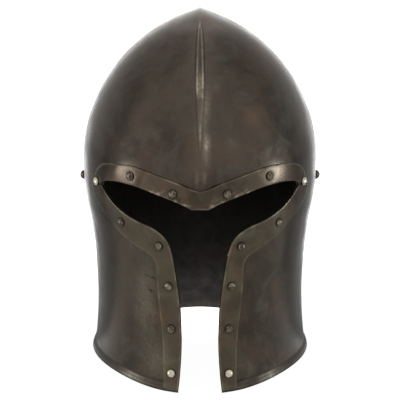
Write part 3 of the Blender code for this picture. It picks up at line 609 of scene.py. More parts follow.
def rivet_metal(name, dark, bright, low, high):
    """A hammered rivet head: dark, with painted shade round its foot, and rubbed bright on the high spots."""
    n = Nodes(name)
    pale_mask, shade_and_grime, _, _ = n.marks()
    rubbed = n.times(n.ramp(n.noise(330, 4, 0.6), low, high), n.ramp(pale_mask, 0.1, 0.7))
    colour = n.mix(rubbed, dark, bright)
    # Painted shade round the foot of the head.
    colour = n.mix(shade_and_grime, colour, SHADE_AND_GRIME)
    dents = n.bump(n.noise(420, 2), 0.35, 0.0004)
    grain = n.bump(n.noise(1500, 3), 0.12, 0.0001, dents)
    return n.finish(colour, n.ramp(n.noise(500, 3), 0.3, 0.7, 0.24, 0.42), 1.0, grain)


def leather(name, light, dark, grain_scale):
    """Tanned leather: a pebbled grain, darker in its creases and scuffed pale along its edges."""
    n = Nodes(name)
    pale_mask, shade_and_grime, _, _ = n.marks()
    colour = n.mix(n.ramp(n.noise(26, 5, 0.6, 0.6), 0.32, 0.68), light, dark)
    grain = n.cells(grain_scale, "DISTANCE_TO_EDGE")
    colour = n.mix(n.ramp(grain, 0.0, 0.10, 0.55, 0.0), colour, tuple(0.4 * c for c in dark))
    scuffed = n.times(pale_mask, n.ramp(n.noise(210, 5), 0.38, 0.62))
    colour = n.mix(n.times(scuffed, 0.6), colour, tuple(min(1, 2.2 * c) for c in light))
    # Darker where the dark mask is set: on the straps, a line of painted shade for a groove along each edge.
    colour = n.mix(n.times(shade_and_grime, 0.6), colour, SHADE_AND_GRIME)
    pebbles = n.bump(n.ramp(grain, 0.0, 0.16), 0.45, 0.0005)
    folds = n.bump(n.noise(60, 4, 0.6, 1.0), 0.25, 0.0015, pebbles)
    fine = n.bump(n.noise(1300, 3), 0.15, 0.0002, folds)
    return n.finish(colour, n.ramp(n.noise(90, 4), 0.3, 0.7, 0.50, 0.72), 0.0, fine)


def waxed_thread():
    n = Nodes("waxed_thread")
    twist = n.noise(900, 2, at=n.stretched((1.0, 1.0, 0.3)))
    colour = n.mix(n.ramp(twist, 0.35, 0.65), (0.20, 0.15, 0.09), (0.34, 0.27, 0.17))
    return n.finish(colour, 0.62, 0.0, n.bump(twist, 0.5, 0.0003))


SCRATCHES = [
    ((-0.0462, 0.0972), (-0.0362, 0.0942), 0.0006), ((-0.0428, 0.0856), (-0.0382, 0.0826), 0.0005),
    ((0.0288, 0.1056), (0.0356, 0.1004), 0.0004),
]  # fmt: skip
shell_steel = patinated_steel("shell_steel", (1.0, 0.99, 0.97), (0.92, 0.94, 0.88), SCRATCHES)
brow_steel = patinated_steel("brow_steel", (1.24, 1.18, 1.06), (1.24, 1.18, 1.06))
cheek_steel = patinated_steel("cheek_steel", (1.22, 1.23, 1.14), (1.24, 1.25, 1.08))
inside_steel = inner_steel()
dark_rivet = rivet_metal("dark_rivet", (0.062, 0.050, 0.038), (0.240, 0.200, 0.155), 0.42, 0.66)
bright_rivet = rivet_metal("bright_rivet", (0.230, 0.198, 0.158), (0.620, 0.555, 0.455), 0.30, 0.52)
buckle_metal = rivet_metal("buckle_metal", (0.110, 0.100, 0.088), (0.520, 0.490, 0.440), 0.36, 0.60)
# The liner's leather is made nearly black, partly as painted shade for the inside of the bowl.
liner_hide = leather("liner_hide", (0.042, 0.025, 0.015), (0.018, 0.011, 0.007), 520)
strap_hide = leather("strap_hide", (0.046, 0.029, 0.019), (0.020, 0.013, 0.009), 620)
thread = waxed_thread()

# ---------------------------------------------------------------- the bowl

RIB_HEIGHT = 0.0009
rib_half_width = smooth_curve(
    [
        (0.190, 0.0), (0.200, 0.0006), (0.222, 0.0020), (0.243, 0.0032), (0.260, 0.0034), (0.279, 0.0029),
        (0.290, 0.0016), (0.2960, 0.0),
    ]
)  # fmt: skip
KEEL_ZONE = 0.0068
KEEL_COLUMNS, SIDE_COLUMNS = 13, 44


def shell_angles(height):
    """Plan angles of one row's columns, close together along the keel and even elsewhere."""
    zone = min(KEEL_ZONE, 0.22 * float(half_width(height)))
    power = float(plan_power(height))
    near = np.arcsin((np.linspace(0, 1, KEEL_COLUMNS)[:-1] * zone / float(half_width(height))) ** (power / 2))
    edge = math.asin((zone / float(half_width(height))) ** (power / 2))
    quarter = np.concatenate([near, np.linspace(edge, math.pi / 2, SIDE_COLUMNS)])
    half = np.concatenate([quarter, (math.pi - quarter[::-1])[1:]])
    return np.concatenate([half, -half[::-1][1:-1]])


def rib_lift(x, y, height):
    """The raised rib at the front of the keel: flat on top, with steep sides."""
    wide = np.maximum(rib_half_width(height), 1e-6)
    grown = eased(wide / 0.0016)
    side = np.abs(x) / wide
    return np.where(y < 0, RIB_HEIGHT * grown * (1 - eased((side - 0.62) / 0.55)), 0.0)


def unevenness(points, scale, seed):
    return np.array([noise.noise(Vector(p) * scale + Vector((seed, 0, 0))) for p in points])


def outline_distance(x, z):
    """Distance in the front view to the edge of the face opening."""
    line = opening_line()
    starts, ends = line[:-1], line[1:]
    place = np.stack([np.abs(x), z], -1)[:, None]
    along = ends - starts
    share = np.clip(((place - starts) * along).sum(-1) / (along**2).sum(-1), 0, 1)
    return np.linalg.norm(place - (starts + share[..., None] * along), axis=-1).min(axis=1)


def opening_line():
    """The +X half of the face opening, from the nose point round the eye and down to below the rim."""
    return np.vstack([spline(BROW_EDGE), EYE_CORNER, spline(CHEEK_EDGE), [(0.0184, -0.010)]])


def near_rivets(points, reach=0.0019):
    """1 in a ring against each rivet head, falling away outside it."""
    nearest = np.full(len(points), 1.0)
    for place in rivet_points:
        nearest = np.minimum(nearest, np.linalg.norm(points - place, axis=1))
    return np.exp(-np.maximum(0, nearest - RIVET_RADIUS * 0.95) / reach)


def stain(x, z, spots):
    """Soft ellipses on the front view, each (x, z, reach across, reach up, turn in degrees, strength)."""
    total = np.zeros_like(x)
    for cx, cz, wide, tall, turn, strength in spots:
        c, s = math.cos(turn * DEGREE), math.sin(turn * DEGREE)
        across, up = c * (x - cx) + s * (z - cz), -s * (x - cx) + c * (z - cz)
        total += strength * np.exp(-((across / wide) ** 2 + (up / tall) ** 2))
    return np.clip(total, 0, 1)


COPPER_SPOTS = [(0.0425, 0.2250, 0.0060, 0.0085, 12, 0.36), (-0.036, 0.250, 0.016, 0.010, -30, 0.12)]
RUST_SPOTS = [
    (-0.0490, 0.2160, 0.0050, 0.0110, 12, 0.45), (-0.0370, 0.0614, 0.0050, 0.0040, 0, 0.5),
    (-0.034, 0.062, 0.006, 0.012, 10, 0.8), (-0.050, 0.042, 0.014, 0.022, 0, 0.12),
    (0.0, 0.160, 0.007, 0.010, 0, 0.4), (0.060, 0.060, 0.012, 0.020, 0, 0.2),
    (0.0, 0.1745, 0.009, 0.004, 0, 0.6), (-0.018, 0.012, 0.008, 0.006, 0, 0.5),
    (0.020, 0.010, 0.008, 0.005, 0, 0.3),
]  # fmt: skip
# Darker patches on the front: the first, on the brow band's flat middle, is painted shade; the second is a
# darker patch on the dome.
DARK_MARKS = [(0.0, 0.1740, 0.008, 0.003, 0, 0.35), (-0.030, 0.236, 0.012, 0.020, 20, 0.12)]
# Pale spots on the front: the tall strip on the left cheek and the two spots low on the cheeks are painted
# reflections, and the small spots at x ±0.055, z 0.199 and at x 0.0255, z 0.206 are painted highlights; the
# rest are pale streaks and spots in the steel.
PALE_SPOTS = [
    (0.0050, 0.2075, 0.0019, 0.0058, 0, 0.52), (0.0050, 0.1970, 0.0022, 0.0050, 0, 0.16),
    (0.0003, 0.2150, 0.0011, 0.0080, 0, 0.26), (0.0040, 0.2340, 0.0038, 0.0130, -8, 0.20),
    (-0.0026, 0.1805, 0.0013, 0.0060, 0, 0.14), (0.0036, 0.1805, 0.0014, 0.0060, 0, 0.14),
    (0.0014, 0.2150, 0.0052, 0.0280, 0, 0.10), (-0.0450, 0.0700, 0.0080, 0.0340, 0, 0.17),
    (-0.0370, 0.0240, 0.0100, 0.0150, 0, 0.18), (0.0370, 0.0180, 0.0100, 0.0090, 0, 0.08),
    (0.0129, 0.2489, 0.0030, 0.0030, 0, 0.07), (-0.0550, 0.1990, 0.0030, 0.0030, 0, 0.05),
    (0.0550, 0.1990, 0.0030, 0.0030, 0, 0.05), (0.0255, 0.2060, 0.0040, 0.0050, 0, 0.05),
]  # fmt: skip
RIB_WORN_FROM = 0.2395
LIP_TOP, RIB_FOOT = 0.012, 0.190


def bowl():
    lip, wall = np.linspace(0, LIP_TOP, 29)[:-1], np.linspace(LIP_TOP, RIB_FOOT, 84)[:-1]
    heights = np.concatenate([lip, wall, np.linspace(RIB_FOOT, 0.2985, 74), [0.3003, 0.3016]])
    rows = [shell_angles(h) for h in heights]
    outer, inner = [], []
    for height, angles in zip(heights, rows):
        base = outer_point(angles, height)
        normal = outer_normal(angles, height)
        lift = rib_lift(base[:, 0], base[:, 1], height)
        lift = lift + 0.00016 * unevenness(base, 22, 3.0) * min(1.0, (HEIGHT - height) / 0.03)
        outer.append(base + normal * lift[:, None])
        inner.append(base - normal * WALL)
    count = len(rows[0])
    apex = np.array([0, section_centre(HEIGHT), HEIGHT])
    points = np.vstack([np.vstack(outer), np.vstack(inner), [apex, apex - [0, 0, WALL]]])
    size = len(heights) * count
    faces, inside = [], []
    for base, tip, kind in ((0, 2 * size, 0), (size, 2 * size + 1, 1)):
        for i in range(len(heights) - 1):
            for k in range(count):
                n = (k + 1) % count
                a, b = base + i * count, base + (i + 1) * count
                faces.append((a + k, a + n, b + n, b + k))
                inside.append(kind)
        last = base + (len(heights) - 1) * count
        for k in range(count):
            faces.append((last + k, last + (k + 1) % count, tip))
            inside.append(kind)
    for k in range(count):
        n = (k + 1) % count
        faces.append((k, n, size + n, size + k))
        inside.append(0)
    skins = [shell_steel, inside_steel]
    made = add_object("bowl", points, faces, skins, "helmet", "blackened_steel", ["helmet_shell"], 0)
    made.data.polygons.foreach_set("material_index", inside)
    half = opening_line()
    outline = np.vstack([half, mirrored(half)])
    cut_prism(made, *(np.insert(outline, 1, y, axis=1) for y in (-0.150, -0.005)))
    resharpen(made, 40)
    mark_bowl(made.data)


def mark_bowl(mesh):
    p = places_of(mesh)
    x, y, z = p.T
    in_front = y < -0.02
    edge = np.zeros(len(p))
    near = in_front & (z < 0.20)
    edge[near] = np.exp(-((outline_distance(x[near], z[near]) / 0.0009) ** 2))
    wide = np.maximum(rib_half_width(z), 1e-5)
    grown = np.where(y < 0, eased(wide / 0.0012), 0)
    rib_edge = grown * np.exp(-(((np.abs(x) - 0.70 * wide) / 0.00048) ** 2))
    rib_foot = grown * np.exp(-(((np.abs(x) - 1.12 * wide) / 0.00048) ** 2))
    rib_top = grown * np.exp(-((x / wide) ** 4))
    ragged = 0.5 + unevenness(p * [1.0, 0.2, 0.55], 520, 5.0)
    worn = eased((z - RIB_WORN_FROM + 0.004 * (ragged - 0.5)) / 0.007)
    rubbed = np.exp(-(((z - 0.2495) / 0.0105) ** 2))
    fresh = np.clip(0.55 + 0.9 * ragged, 0, 1.2)
    on_rib = worn * fresh * (rib_edge * (0.36 + 0.58 * rubbed) + rib_top * (0.05 + 0.22 * rubbed))
    keel = 0.10 * np.exp(-((x / 0.0011) ** 2)) * (y > 0)
    above_rim = z - rim_arch(x, np.zeros_like(x), y < 0)
    uneven = np.clip(0.5 + 0.9 * unevenness(p, 130, 9.0), 0, 1)
    front = np.where(in_front, 1.0, 0.0)
    pale = stain(x, z, PALE_SPOTS) * front
    # Pale lines along the opening's edge and just above the rim's bottom edge: worn, and painted highlights
    # on those edges too.
    rim_line = np.exp(-(((above_rim - 0.0022) / 0.0005) ** 2))
    worn_and_sheen_lines = np.maximum.reduce([0.16 * edge * uneven, on_rib, keel, 0.22 * rim_line * uneven])
    pale_mask = np.clip(worn_and_sheen_lines + pale, 0, 1)
    # Painted shade: a dark band along the crease at the top of the lip, a dark line at the rim's bottom edge,
    # a darkened lip, rings round the rivet heads and a line along the rib's foot. The dark patches are added
    # too, and the middle of the rib's top is made darker.
    crease = np.exp(-(((z - rim_arch(x, z, y < 0) - 0.0072) / 0.0011) ** 2))
    under = np.exp(-((np.maximum(0, above_rim) / 0.0009) ** 2))
    rib_middle = grown * np.exp(-((x / (0.42 * wide)) ** 4)) * eased((z - 0.2535) / 0.010)
    lip = np.exp(-((np.maximum(0, above_rim - 0.004) / 0.0012) ** 2))
    dark = stain(x, z, DARK_MARKS) * front
    shade_and_grime = np.maximum.reduce([0.9 * near_rivets(p), dark, 0.60 * crease, 0.85 * under, 0.25 * lip])
    shade_and_grime = np.maximum.reduce([shade_and_grime, 0.60 * rib_foot * (1 - 0.4 * rubbed), 0.50 * rib_middle])
    set_marks(mesh, pale_mask, shade_and_grime, stain(x, z, COPPER_SPOTS) * front, stain(x, z, RUST_SPOTS) * front)


bowl()

# ---------------------------------------------------------------- bands

EDGE_ROUND = 0.00045
BROW_FLAT_SPREAD, BROW_FLAT_END = 0.30, 0.0185


def brow_fold(z):
    """Half the width of the brow band's flat middle."""
    return NOSE_HALF_WIDTH + BROW_FLAT_SPREAD * np.maximum(0, z - BROW_EDGE[0][1])


def folded_shape(x, z, lift):
    """The brow band lies over the keel with a flat middle and comes back to the shell beside it."""
    point = front_point(x, z, lift)
    flat = front_point(np.zeros_like(x), z, lift)[..., 1]
    fold = brow_fold(z)
    beside = np.clip((np.abs(x) - fold) / (BROW_FLAT_END - fold), 0, 1)
    point[..., 1] += (flat - point[..., 1]) * (1 - beside) ** 2
    return point


def band_section(width):
    """(distance across, height above the shell) round a band's section, for an array of widths."""
    r, top = EDGE_ROUND, BAND_TOP
    corner = [(r - r * math.cos(t), top - r + r * math.sin(t)) for t in np.linspace(0, math.pi / 2, 5)]
    across, lift = [np.zeros_like(width)], [0.0]
    for a, b in corner:
        across.append(np.full_like(width, a))
        lift.append(b)
    for share in np.linspace(0, 1, 12)[1:-1]:
        across.append(r + share * (width - 2 * r))
        lift.append(top)
    for a, b in reversed(corner):
        across.append(width - a)
        lift.append(b)
    across.append(width)
    lift.append(0.0)
    return np.stack(across, 1), np.array(lift)


def band(name, node, inside, outside, columns, shape, skin):
    """A plate with rounded edges between two front-view lines, lying on the bowl."""
    low, high = evenly(inside, columns), evenly(outside, columns)
    width = np.linalg.norm(high - low, axis=1)
    across, lift = band_section(width)
    share = (across / width[:, None])[..., None]
    place = low[:, None] * (1 - share) + high[:, None] * share
    lifts = np.broadcast_to(lift, place.shape[:2]).copy()
    points = shape(place[..., 0], place[..., 1], lifts)
    flat = points.reshape(-1, 3)
    top = (lifts.reshape(-1) > 0.9 * BAND_TOP).astype(float)
    pressed = 0.00020 * near_rivets(flat, 0.0016) + 0.00010 * (1 - unevenness(flat, 60, 7.0))
    normal = front_normal(place[..., 0], place[..., 1]).reshape(-1, 3)
    flat = flat - normal * (pressed * top)[:, None]
    solid = swept(flat.reshape(points.shape))
    made = add_object(name, *solid, [skin], "helmet", "band_steel", [node], 40)
    edge = np.minimum(across, width[:, None] - across).reshape(-1)
    x, _, z = flat.T
    uneven = np.clip(0.5 + 1.1 * unevenness(flat, 120, 2.0), 0, 1)
    outer_side = (across > width[:, None] / 2).reshape(-1)
    outer_ridge = 0.30 if shape is folded_shape else 0.13
    ridge = np.where(outer_side, outer_ridge, 0.22) * uneven * np.exp(-(((edge - 0.0003) / 0.0004) ** 2))
    # Paler marks: worn edges, and the pale spots, some of which are painted reflections.
    pale_mask = np.clip(ridge + stain(x, z, PALE_SPOTS), 0, 1)
    # Painted shade: a dark line along the band's edges where it meets the bowl, and rings round the rivet
    # heads.
    seam = 0.6 * (lifts.reshape(-1) < 0.3 * BAND_TOP)
    shade_and_grime = np.maximum.reduce([0.9 * near_rivets(flat, 0.0009), stain(x, z, DARK_MARKS), seam])
    if shape is folded_shape:
        # Painted shade on the brow band's flat middle, which is made darker than the facets beside it.
        middle = eased((brow_fold(z) + 0.0006 - np.abs(x)) / 0.0012)
        shade_and_grime = np.maximum(shade_and_grime, 0.30 * middle * (stain(x, z, PALE_SPOTS) < 0.05))
        # Pale vertical streaks along the brow band's lower edge beside its middle: partly worn, partly a
        # painted reflection that makes these facets lighter at the bottom.
        beside = eased((np.abs(x) - 0.005) / 0.004) * eased((0.046 - np.abs(x)) / 0.008)
        scuffed = np.exp(-((across.reshape(-1) / 0.0045) ** 2)) * beside
        streaks = np.clip(unevenness(flat * [1.0, 1.0, 2.2], 260, 4.0) * 2.4 - 0.1, 0, 1)
        pale_mask = np.clip(pale_mask + 0.50 * scuffed * streaks, 0, 1)
    set_marks(made.data, pale_mask, shade_and_grime, 0 * x, stain(x, z, RUST_SPOTS))


def brow_lines():
    low = np.vstack([spline(BROW_EDGE)[1:], EYE_CORNER[:1], [BROW_BAND_END]])
    low = set_back(np.vstack([[(NOSE_HALF_WIDTH, BROW_EDGE[0][1])], low]), -BAND_SETBACK)
    low[0] = (NOSE_HALF_WIDTH, BROW_EDGE[0][1] + BAND_SETBACK)
    high = spline(BROW_BAND_TOP)
    return np.vstack([mirrored(low), low]), np.vstack([mirrored(high), high[1:]])


def cheek_lines(side):
    low = np.vstack([[CHEEK_BAND_START], spline(CHEEK_EDGE)[:-1], [CHEEK_BAND_END]])
    low = set_back(low, -BAND_SETBACK)
    return low * [side, 1], spline(CHEEK_BAND_OUTSIDE) * [side, 1]


band("brow_plate", "brow_band", *brow_lines(), 301, folded_shape, brow_steel)
for side, word in ((1, "right"), (-1, "left")):
    band(f"cheek_plate_{word}", f"cheek_band_{word}", *cheek_lines(side), 241, front_point, cheek_steel)

# ---------------------------------------------------------------- rivets and washers


def rivet_profile(seat, tail, radius, height):
    turns = np.linspace(math.pi / 2, 0, 11)
    head = [(radius * math.cos(t), seat + height * math.sin(t) ** 1.15) for t in turns]
    head[0] = (0, seat + height)
    turns = np.linspace(0, math.pi / 2, 6)
    spread = [(TAIL_RADIUS * math.cos(t), tail - TAIL_HEIGHT * math.sin(t)) for t in turns]
    spread[-1] = (0, tail - TAIL_HEIGHT)
    under = seat - 0.0002
    return [*head, (0.97 * radius, under), (SHANK_RADIUS, under), (SHANK_RADIUS, tail), *spread]


def rivets(name, node, places, seat, tail, skin, radius=RIVET_RADIUS, height=RIVET_HEIGHT):
    """One rivet for each CAD node, each hammered a little differently."""
    for number, place in enumerate(places, 1):
        points, faces = turned_solid(rivet_profile(seat, tail, radius, height), place)
        centre, normal = (np.array(v, float) for v in place)
        flat = np.array([tuple(p) for p in points])
        dented = unevenness(flat, 420, number * 3.7) * 0.00022
        depth = (flat - centre) @ normal
        flat += normal * np.where(depth > seat, dented, 0)[:, None]
        nodes = [f"{node}_{number}"]
        made = add_object(f"{name}_{number}", flat, faces, [skin], "helmet", "rivet_steel", nodes, 50)
        high = (depth - seat) / height
        # Painted shade: the head darkens towards its foot, where it meets the plate.
        shade_and_grime = np.clip(0.7 - 3 * np.maximum(high, 0), 0, 0.7) * (high > -0.2)
        set_marks(made.data, eased(high * 1.4), shade_and_grime)


def washers(name, node, places, base):
    bevel = 0.0002
    profile = [
        (WASHER_RADIUS - bevel, base),
        (WASHER_RADIUS, base - bevel),
        (WASHER_RADIUS, base - WASHER_THICKNESS + bevel),
        (WASHER_RADIUS - bevel, base - WASHER_THICKNESS),
        (SHANK_RADIUS + GAP, base - WASHER_THICKNESS),
        (SHANK_RADIUS + GAP, base),
    ]
    for number, place in enumerate(places, 1):
        solid, nodes = turned_solid(profile, place), [f"{node}_{number}"]
        made = add_object(f"{name}_{number}", *solid, [dark_rivet], "helmet", "rivet_steel", nodes, 30)
        set_marks(made.data, 0.6)


liner_inside = -LINER_DEPTH - LEATHER - GAP - FACET_SPACE
under_washer = liner_inside - WASHER_THICKNESS - GAP
strap_depth = LINER_DEPTH + LEATHER + GAP + STRAP_SPACE + STRAP_THICKNESS / 2
strap_inside = -strap_depth - STRAP_THICKNESS / 2 - GAP
rivets("brow_stud", "brow_rivet", brow_places, BAND_TOP, under_washer, dark_rivet)
rivets("temple_stud", "temple_rivet", temple_places, BAND_TOP, -STEEL_INSIDE, bright_rivet)
for side, word in ((1, "right"), (-1, "left")):
    stud, node = f"cheek_stud_{word}", f"cheek_rivet_{word}"
    rivets(stud, node, cheek_places[side], BAND_TOP, -STEEL_INSIDE, dark_rivet)
    bpy.data.objects[f"{stud}_{len(CHEEK_RIVETS)}"].data.materials[0] = bright_rivet
rivets("liner_stud", "liner_rivet", rear_places, SHELL_SEAT, under_washer, dark_rivet)
side_tail = strap_inside - WASHER_THICKNESS - GAP
side_size = (SIDE_RIVET_RADIUS, SIDE_RIVET_HEIGHT)
rivets("side_stud", "chin_strap_rivet", side_places, SHELL_SEAT, side_tail, dark_rivet, *side_size)
washers("liner_disc", "liner_washer", [*brow_places, *rear_places], liner_inside)
washers("side_disc", "chin_strap_washer", side_places, strap_inside)

# ---------------------------------------------------------------- liner

TONGUE_COUNT = 8
TONGUE_SPAN = 37.5 * DEGREE


def leather_section(width, thickness, count=9):
    """A flat section with rounded edges: (share across from -0.5 to 0.5, share of the thickness) pairs."""
    r = min(thickness / 2, width / 2) * 0.9
    turns = np.linspace(-90, 90, 7) * DEGREE
    right = [(width / 2 - r + r * math.cos(t), thickness / 2 * math.sin(t)) for t in turns]
    top = [(w, thickness / 2) for w in np.linspace(width / 2 - r, -width / 2 + r, count)[1:-1]]
    left = [(-a, -b) for a, b in right]
    bottom = [(-a, -b) for a, b in top]
    return np.array([*right, *top, *left, *bottom])


def liner_band():
    angles = np.linspace(0, 2 * math.pi, 193)[:-1]
    low, high = rivet_line(angles) - LINER_BELOW, rivet_line(angles) + LINER_ABOVE
    sections = []
    for share, depth in leather_section(1.0, 1.0):
        height = low + (high - low) * (0.5 + share)
        sections.append(wall_point(angles, height, -(LINER_DEPTH + LEATHER * (0.5 - depth))))
    solid = swept(np.stack(sections, axis=1), closed=True)
    made = add_object("liner_band_hide", *solid, [liner_hide], "helmet", "liner_leather", ["liner_band"], 60)
    p = places_of(made.data)
    angle = np.arctan2(p[:, 0], -p[:, 1])
    up = (p[:, 2] - rivet_line(angle) + LINER_BELOW) / (LINER_ABOVE + LINER_BELOW)
    set_marks(made.data, np.exp(-((np.minimum(up, 1 - up) / 0.07) ** 2)))


def tongue_line(angle, depth, top):
    """Points up a tongue at one plan angle, from the foot inside the band to the tip below the crown."""
    high = rivet_line(angle) + LINER_ABOVE
    foot_low = high - (LINER_ABOVE + LINER_BELOW) / 2
    foot = wall_point(angle, np.linspace(foot_low, high, 5), -depth)
    start = foot[-1]
    centre_y = section_centre(TONGUE_TOP)
    outward = np.array([start[0], start[1] - centre_y, 0])
    spread = np.linalg.norm(outward)
    turn = np.linspace(0, math.pi / 2, 25)[1:]
    radius = TONGUE_TIP_RADIUS + (spread - TONGUE_TIP_RADIUS) * np.cos(turn) ** TONGUE_LEAN
    height = start[2] + (top - start[2]) * np.sin(turn)
    dome = outward / spread * radius[:, None]
    dome = dome + np.stack([0 * turn, centre_y + 0 * turn, height], 1)
    return np.vstack([foot, dome])


def tongues():
    depth = LINER_DEPTH + LEATHER + GAP
    section = leather_section(1.0, 1.0, 13)
    for number in range(1, TONGUE_COUNT + 1):
        middle = 2 * math.pi * (number - 0.5) / TONGUE_COUNT
        columns = []
        for share, through in section:
            inward = (0.5 - through) * TONGUE_THICKNESS
            columns.append(tongue_line(middle + TONGUE_SPAN * share, depth + inward, TONGUE_TOP - inward))
        stacked = np.stack(columns, axis=1)
        solid, nodes = swept(stacked), [f"liner_tongue_{number}"]
        made = add_object(f"tongue_{number}", *solid, [liner_hide], "helmet", "liner_leather", nodes, 60)
        pale_mask = np.exp(-((0.5 - np.abs(section[:, 0])) / 0.03) ** 2)
        set_marks(made.data, np.tile(pale_mask, len(stacked)))


def crown_patch():
    base, r, sag, rounding = TONGUE_TOP + GAP, PATCH_RADIUS, PATCH_SAG, LEATHER / 2
    centre = np.array([0, section_centre(TONGUE_TOP), 0])
    upper = [(radius, base + LEATHER - sag * (radius / r) ** 3) for radius in np.linspace(0, r - rounding, 9)]
    lower = [(radius, base - sag * (radius / r) ** 3) for radius in np.linspace(r - rounding, 0, 9)]
    edge = arc((r - rounding, base + rounding - sag), rounding, 80, -80, 6).tolist()
    solid = turned_solid([*upper, *edge, *lower], (centre, (0, 0, 1)), 64)
    nodes = ["liner_crown_patch"]
    made = add_object("crown_patch", *solid, [liner_hide], "helmet", "liner_leather", nodes, 60)
    p = places_of(made.data)
    from_edge = r - np.hypot(p[:, 0], p[:, 1] - centre[1])
    set_marks(made.data, np.exp(-((from_edge / 0.0012) ** 2)))


STITCH_SPACING, STITCH_LENGTH, STITCH_RADIUS = 0.0042, 0.0030, 0.00042


def stitch(centre, along, out):
    """One stitch: a short thread with rounded ends that dips into the leather."""
    along, out = unit(along), unit(out)
    side = np.cross(along, out)
    sections = []
    for share in np.linspace(-1, 1, 7):
        swell = math.sqrt(max(0.02, 1 - share**4)) * STITCH_RADIUS
        middle = centre + along * share * STITCH_LENGTH / 2 - out * share**4 * STITCH_RADIUS * 0.8
        turns = np.arange(6) * math.pi / 3
        sections.append([middle + side * swell * math.cos(t) + out * swell * math.sin(t) for t in turns])
    return swept(np.array(sections))


def stitches(name, line, outward):
    """A row of stitches along a polyline, lying on the side that outward points to."""
    length = np.linalg.norm(np.diff(line, axis=0), axis=1).sum()
    count = max(3, int(length / STITCH_SPACING))
    places = evenly(np.hstack([line, outward]), count + 1)
    parts = []
    for a, b in zip(places, places[1:]):
        parts.append(stitch((a[:3] + b[:3]) / 2, b[:3] - a[:3], a[3:] + b[3:]))
    add_object(name, *joined(parts), [thread], "helmet", "liner_leather", (), 60)


def liner_stitches():
    depth = LINER_DEPTH + LEATHER + GAP + TONGUE_THICKNESS
    for number in range(1, TONGUE_COUNT + 1):
        middle = 2 * math.pi * (number - 0.5) / TONGUE_COUNT
        for row, above in enumerate((0.0100, 0.0185), 1):
            angles = middle + TONGUE_SPAN * np.linspace(-0.44, 0.44, 24)
            line = wall_point(angles, rivet_line(angles) + above, -depth - 0.0001)
            stitches(f"tongue_seam_{number}_{row}", line, -outer_normal(angles, rivet_line(angles) + above))
    upper, lower = 0.0185, 0.0165
    top = TONGUE_TOP + GAP + LEATHER - PATCH_SAG * (upper / PATCH_RADIUS) ** 3 + 0.0001
    under = TONGUE_TOP - TONGUE_THICKNESS - 0.0008
    turns = np.linspace(0, 2 * math.pi, 61)
    for word, radius, height, up in (("upper", upper, top, 1.0), ("lower", lower, under, -1.0)):
        y = section_centre(TONGUE_TOP) + radius * np.cos(turns)
        ring = np.stack([radius * np.sin(turns), y, 0 * turns + height], 1)
        stitches(f"patch_seam_{word}", ring, np.tile([0, 0, up], (len(ring), 1)))


liner_band()
tongues()
crown_patch()
liner_stitches()

# ---------------------------------------------------------------- chin straps

HANGING = [(0.0007, 0.0065), (0.0000, 0.0000), (-0.0012, -0.0105)]
BAR_X, BAR_Z = 0.0800, 0.0640
BUCKLE_HEIGHT, BUCKLE_HALF_WIDTH, BUCKLE_CORNER, WIRE_RADIUS = 0.022, 0.0115, 0.003, 0.0014
PRONG_WIDTH, PRONG_THICKNESS = 0.003, 0.0012
LONG_FOLD_Z, LONG_OUTER_X, LONG_INNER_X = 0.0300, 0.0830, 0.0804
HOLE_HEIGHTS = [0.0500, 0.0580, 0.0660, 0.0740]
FOLD_RIVET_Z = 0.0830
KEEPER_Z, KEEPER_HEIGHT, KEEPER_WALL = 0.0960, 0.0080, 0.0013
side_point, side_normal = side_places[0]
pivot = side_point - side_normal * strap_depth


def smoothed(places, rounds=2):
    """Rounds the corners of a polyline by cutting them, and keeps its ends."""
    for _ in range(rounds):
        a, b = places[:-1], places[1:]
        pairs = np.stack([a * 0.75 + b * 0.25, a * 0.25 + b * 0.75], 1).reshape(-1, 2)
        places = np.vstack([places[:1], pairs[1:-1], places[-1:]])
    return places


def strap_solid(route, side, width, thickness, tip=0.0):
    """A strap along an (x, z) route. Its width lies along Y, and narrows to a rounded end over tip."""
    steps = np.linalg.norm(np.diff(route, axis=0), axis=1)
    run = np.concatenate([[0], np.cumsum(steps)])
    along = unit(np.gradient(route, axis=0))
    face = np.stack([along[:, 1], -along[:, 0]], 1)
    left = run[-1] - run
    narrow = np.ones(len(run))
    if tip:
        narrow = np.sqrt(np.clip(1 - (1 - np.clip(left / tip, 0, 1)) ** 2, 0.01, 1))
    sections = []
    for place, out, share in zip(route, face, narrow):
        ring = leather_section(width * share, thickness, 7)
        x = side * (place[0] + out[0] * ring[:, 1])
        sections.append(np.stack([x, pivot[1] + ring[:, 0], place[1] + out[1] * ring[:, 1]], 1))
    return swept(np.array(sections))


def finish_strap(made):
    """Smooths a strap after its holes are cut, and marks its worn edges and a darker creased line along them,
    whose groove the mesh doesn't cut, so its shade is painted.
    """
    resharpen(made, 50)
    p = places_of(made.data)
    from_edge = STRAP_WIDTH / 2 - np.abs(p[:, 1] - pivot[1])
    # A darker creased line along each edge: the mesh has no groove there, so its shade is painted.
    groove = np.exp(-(((from_edge - 0.0022) / 0.0004) ** 2))
    set_marks(made.data, np.exp(-((from_edge / 0.0009) ** 2)), 0.9 * groove)


def densify(route, step=0.0011):
    length = np.linalg.norm(np.diff(route, axis=0), axis=1).sum()
    return evenly(route, int(length / step))


def bore(target, centre, along, radius, reach):
    place = (np.array(centre, float), np.array(along, float))
    cut(target, *turned_solid([(0, reach), (radius, reach), (radius, -reach), (0, -reach)], place, 20))


top_route = np.array([(pivot[0] + dx, pivot[2] + dz) for dx, dz in HANGING])


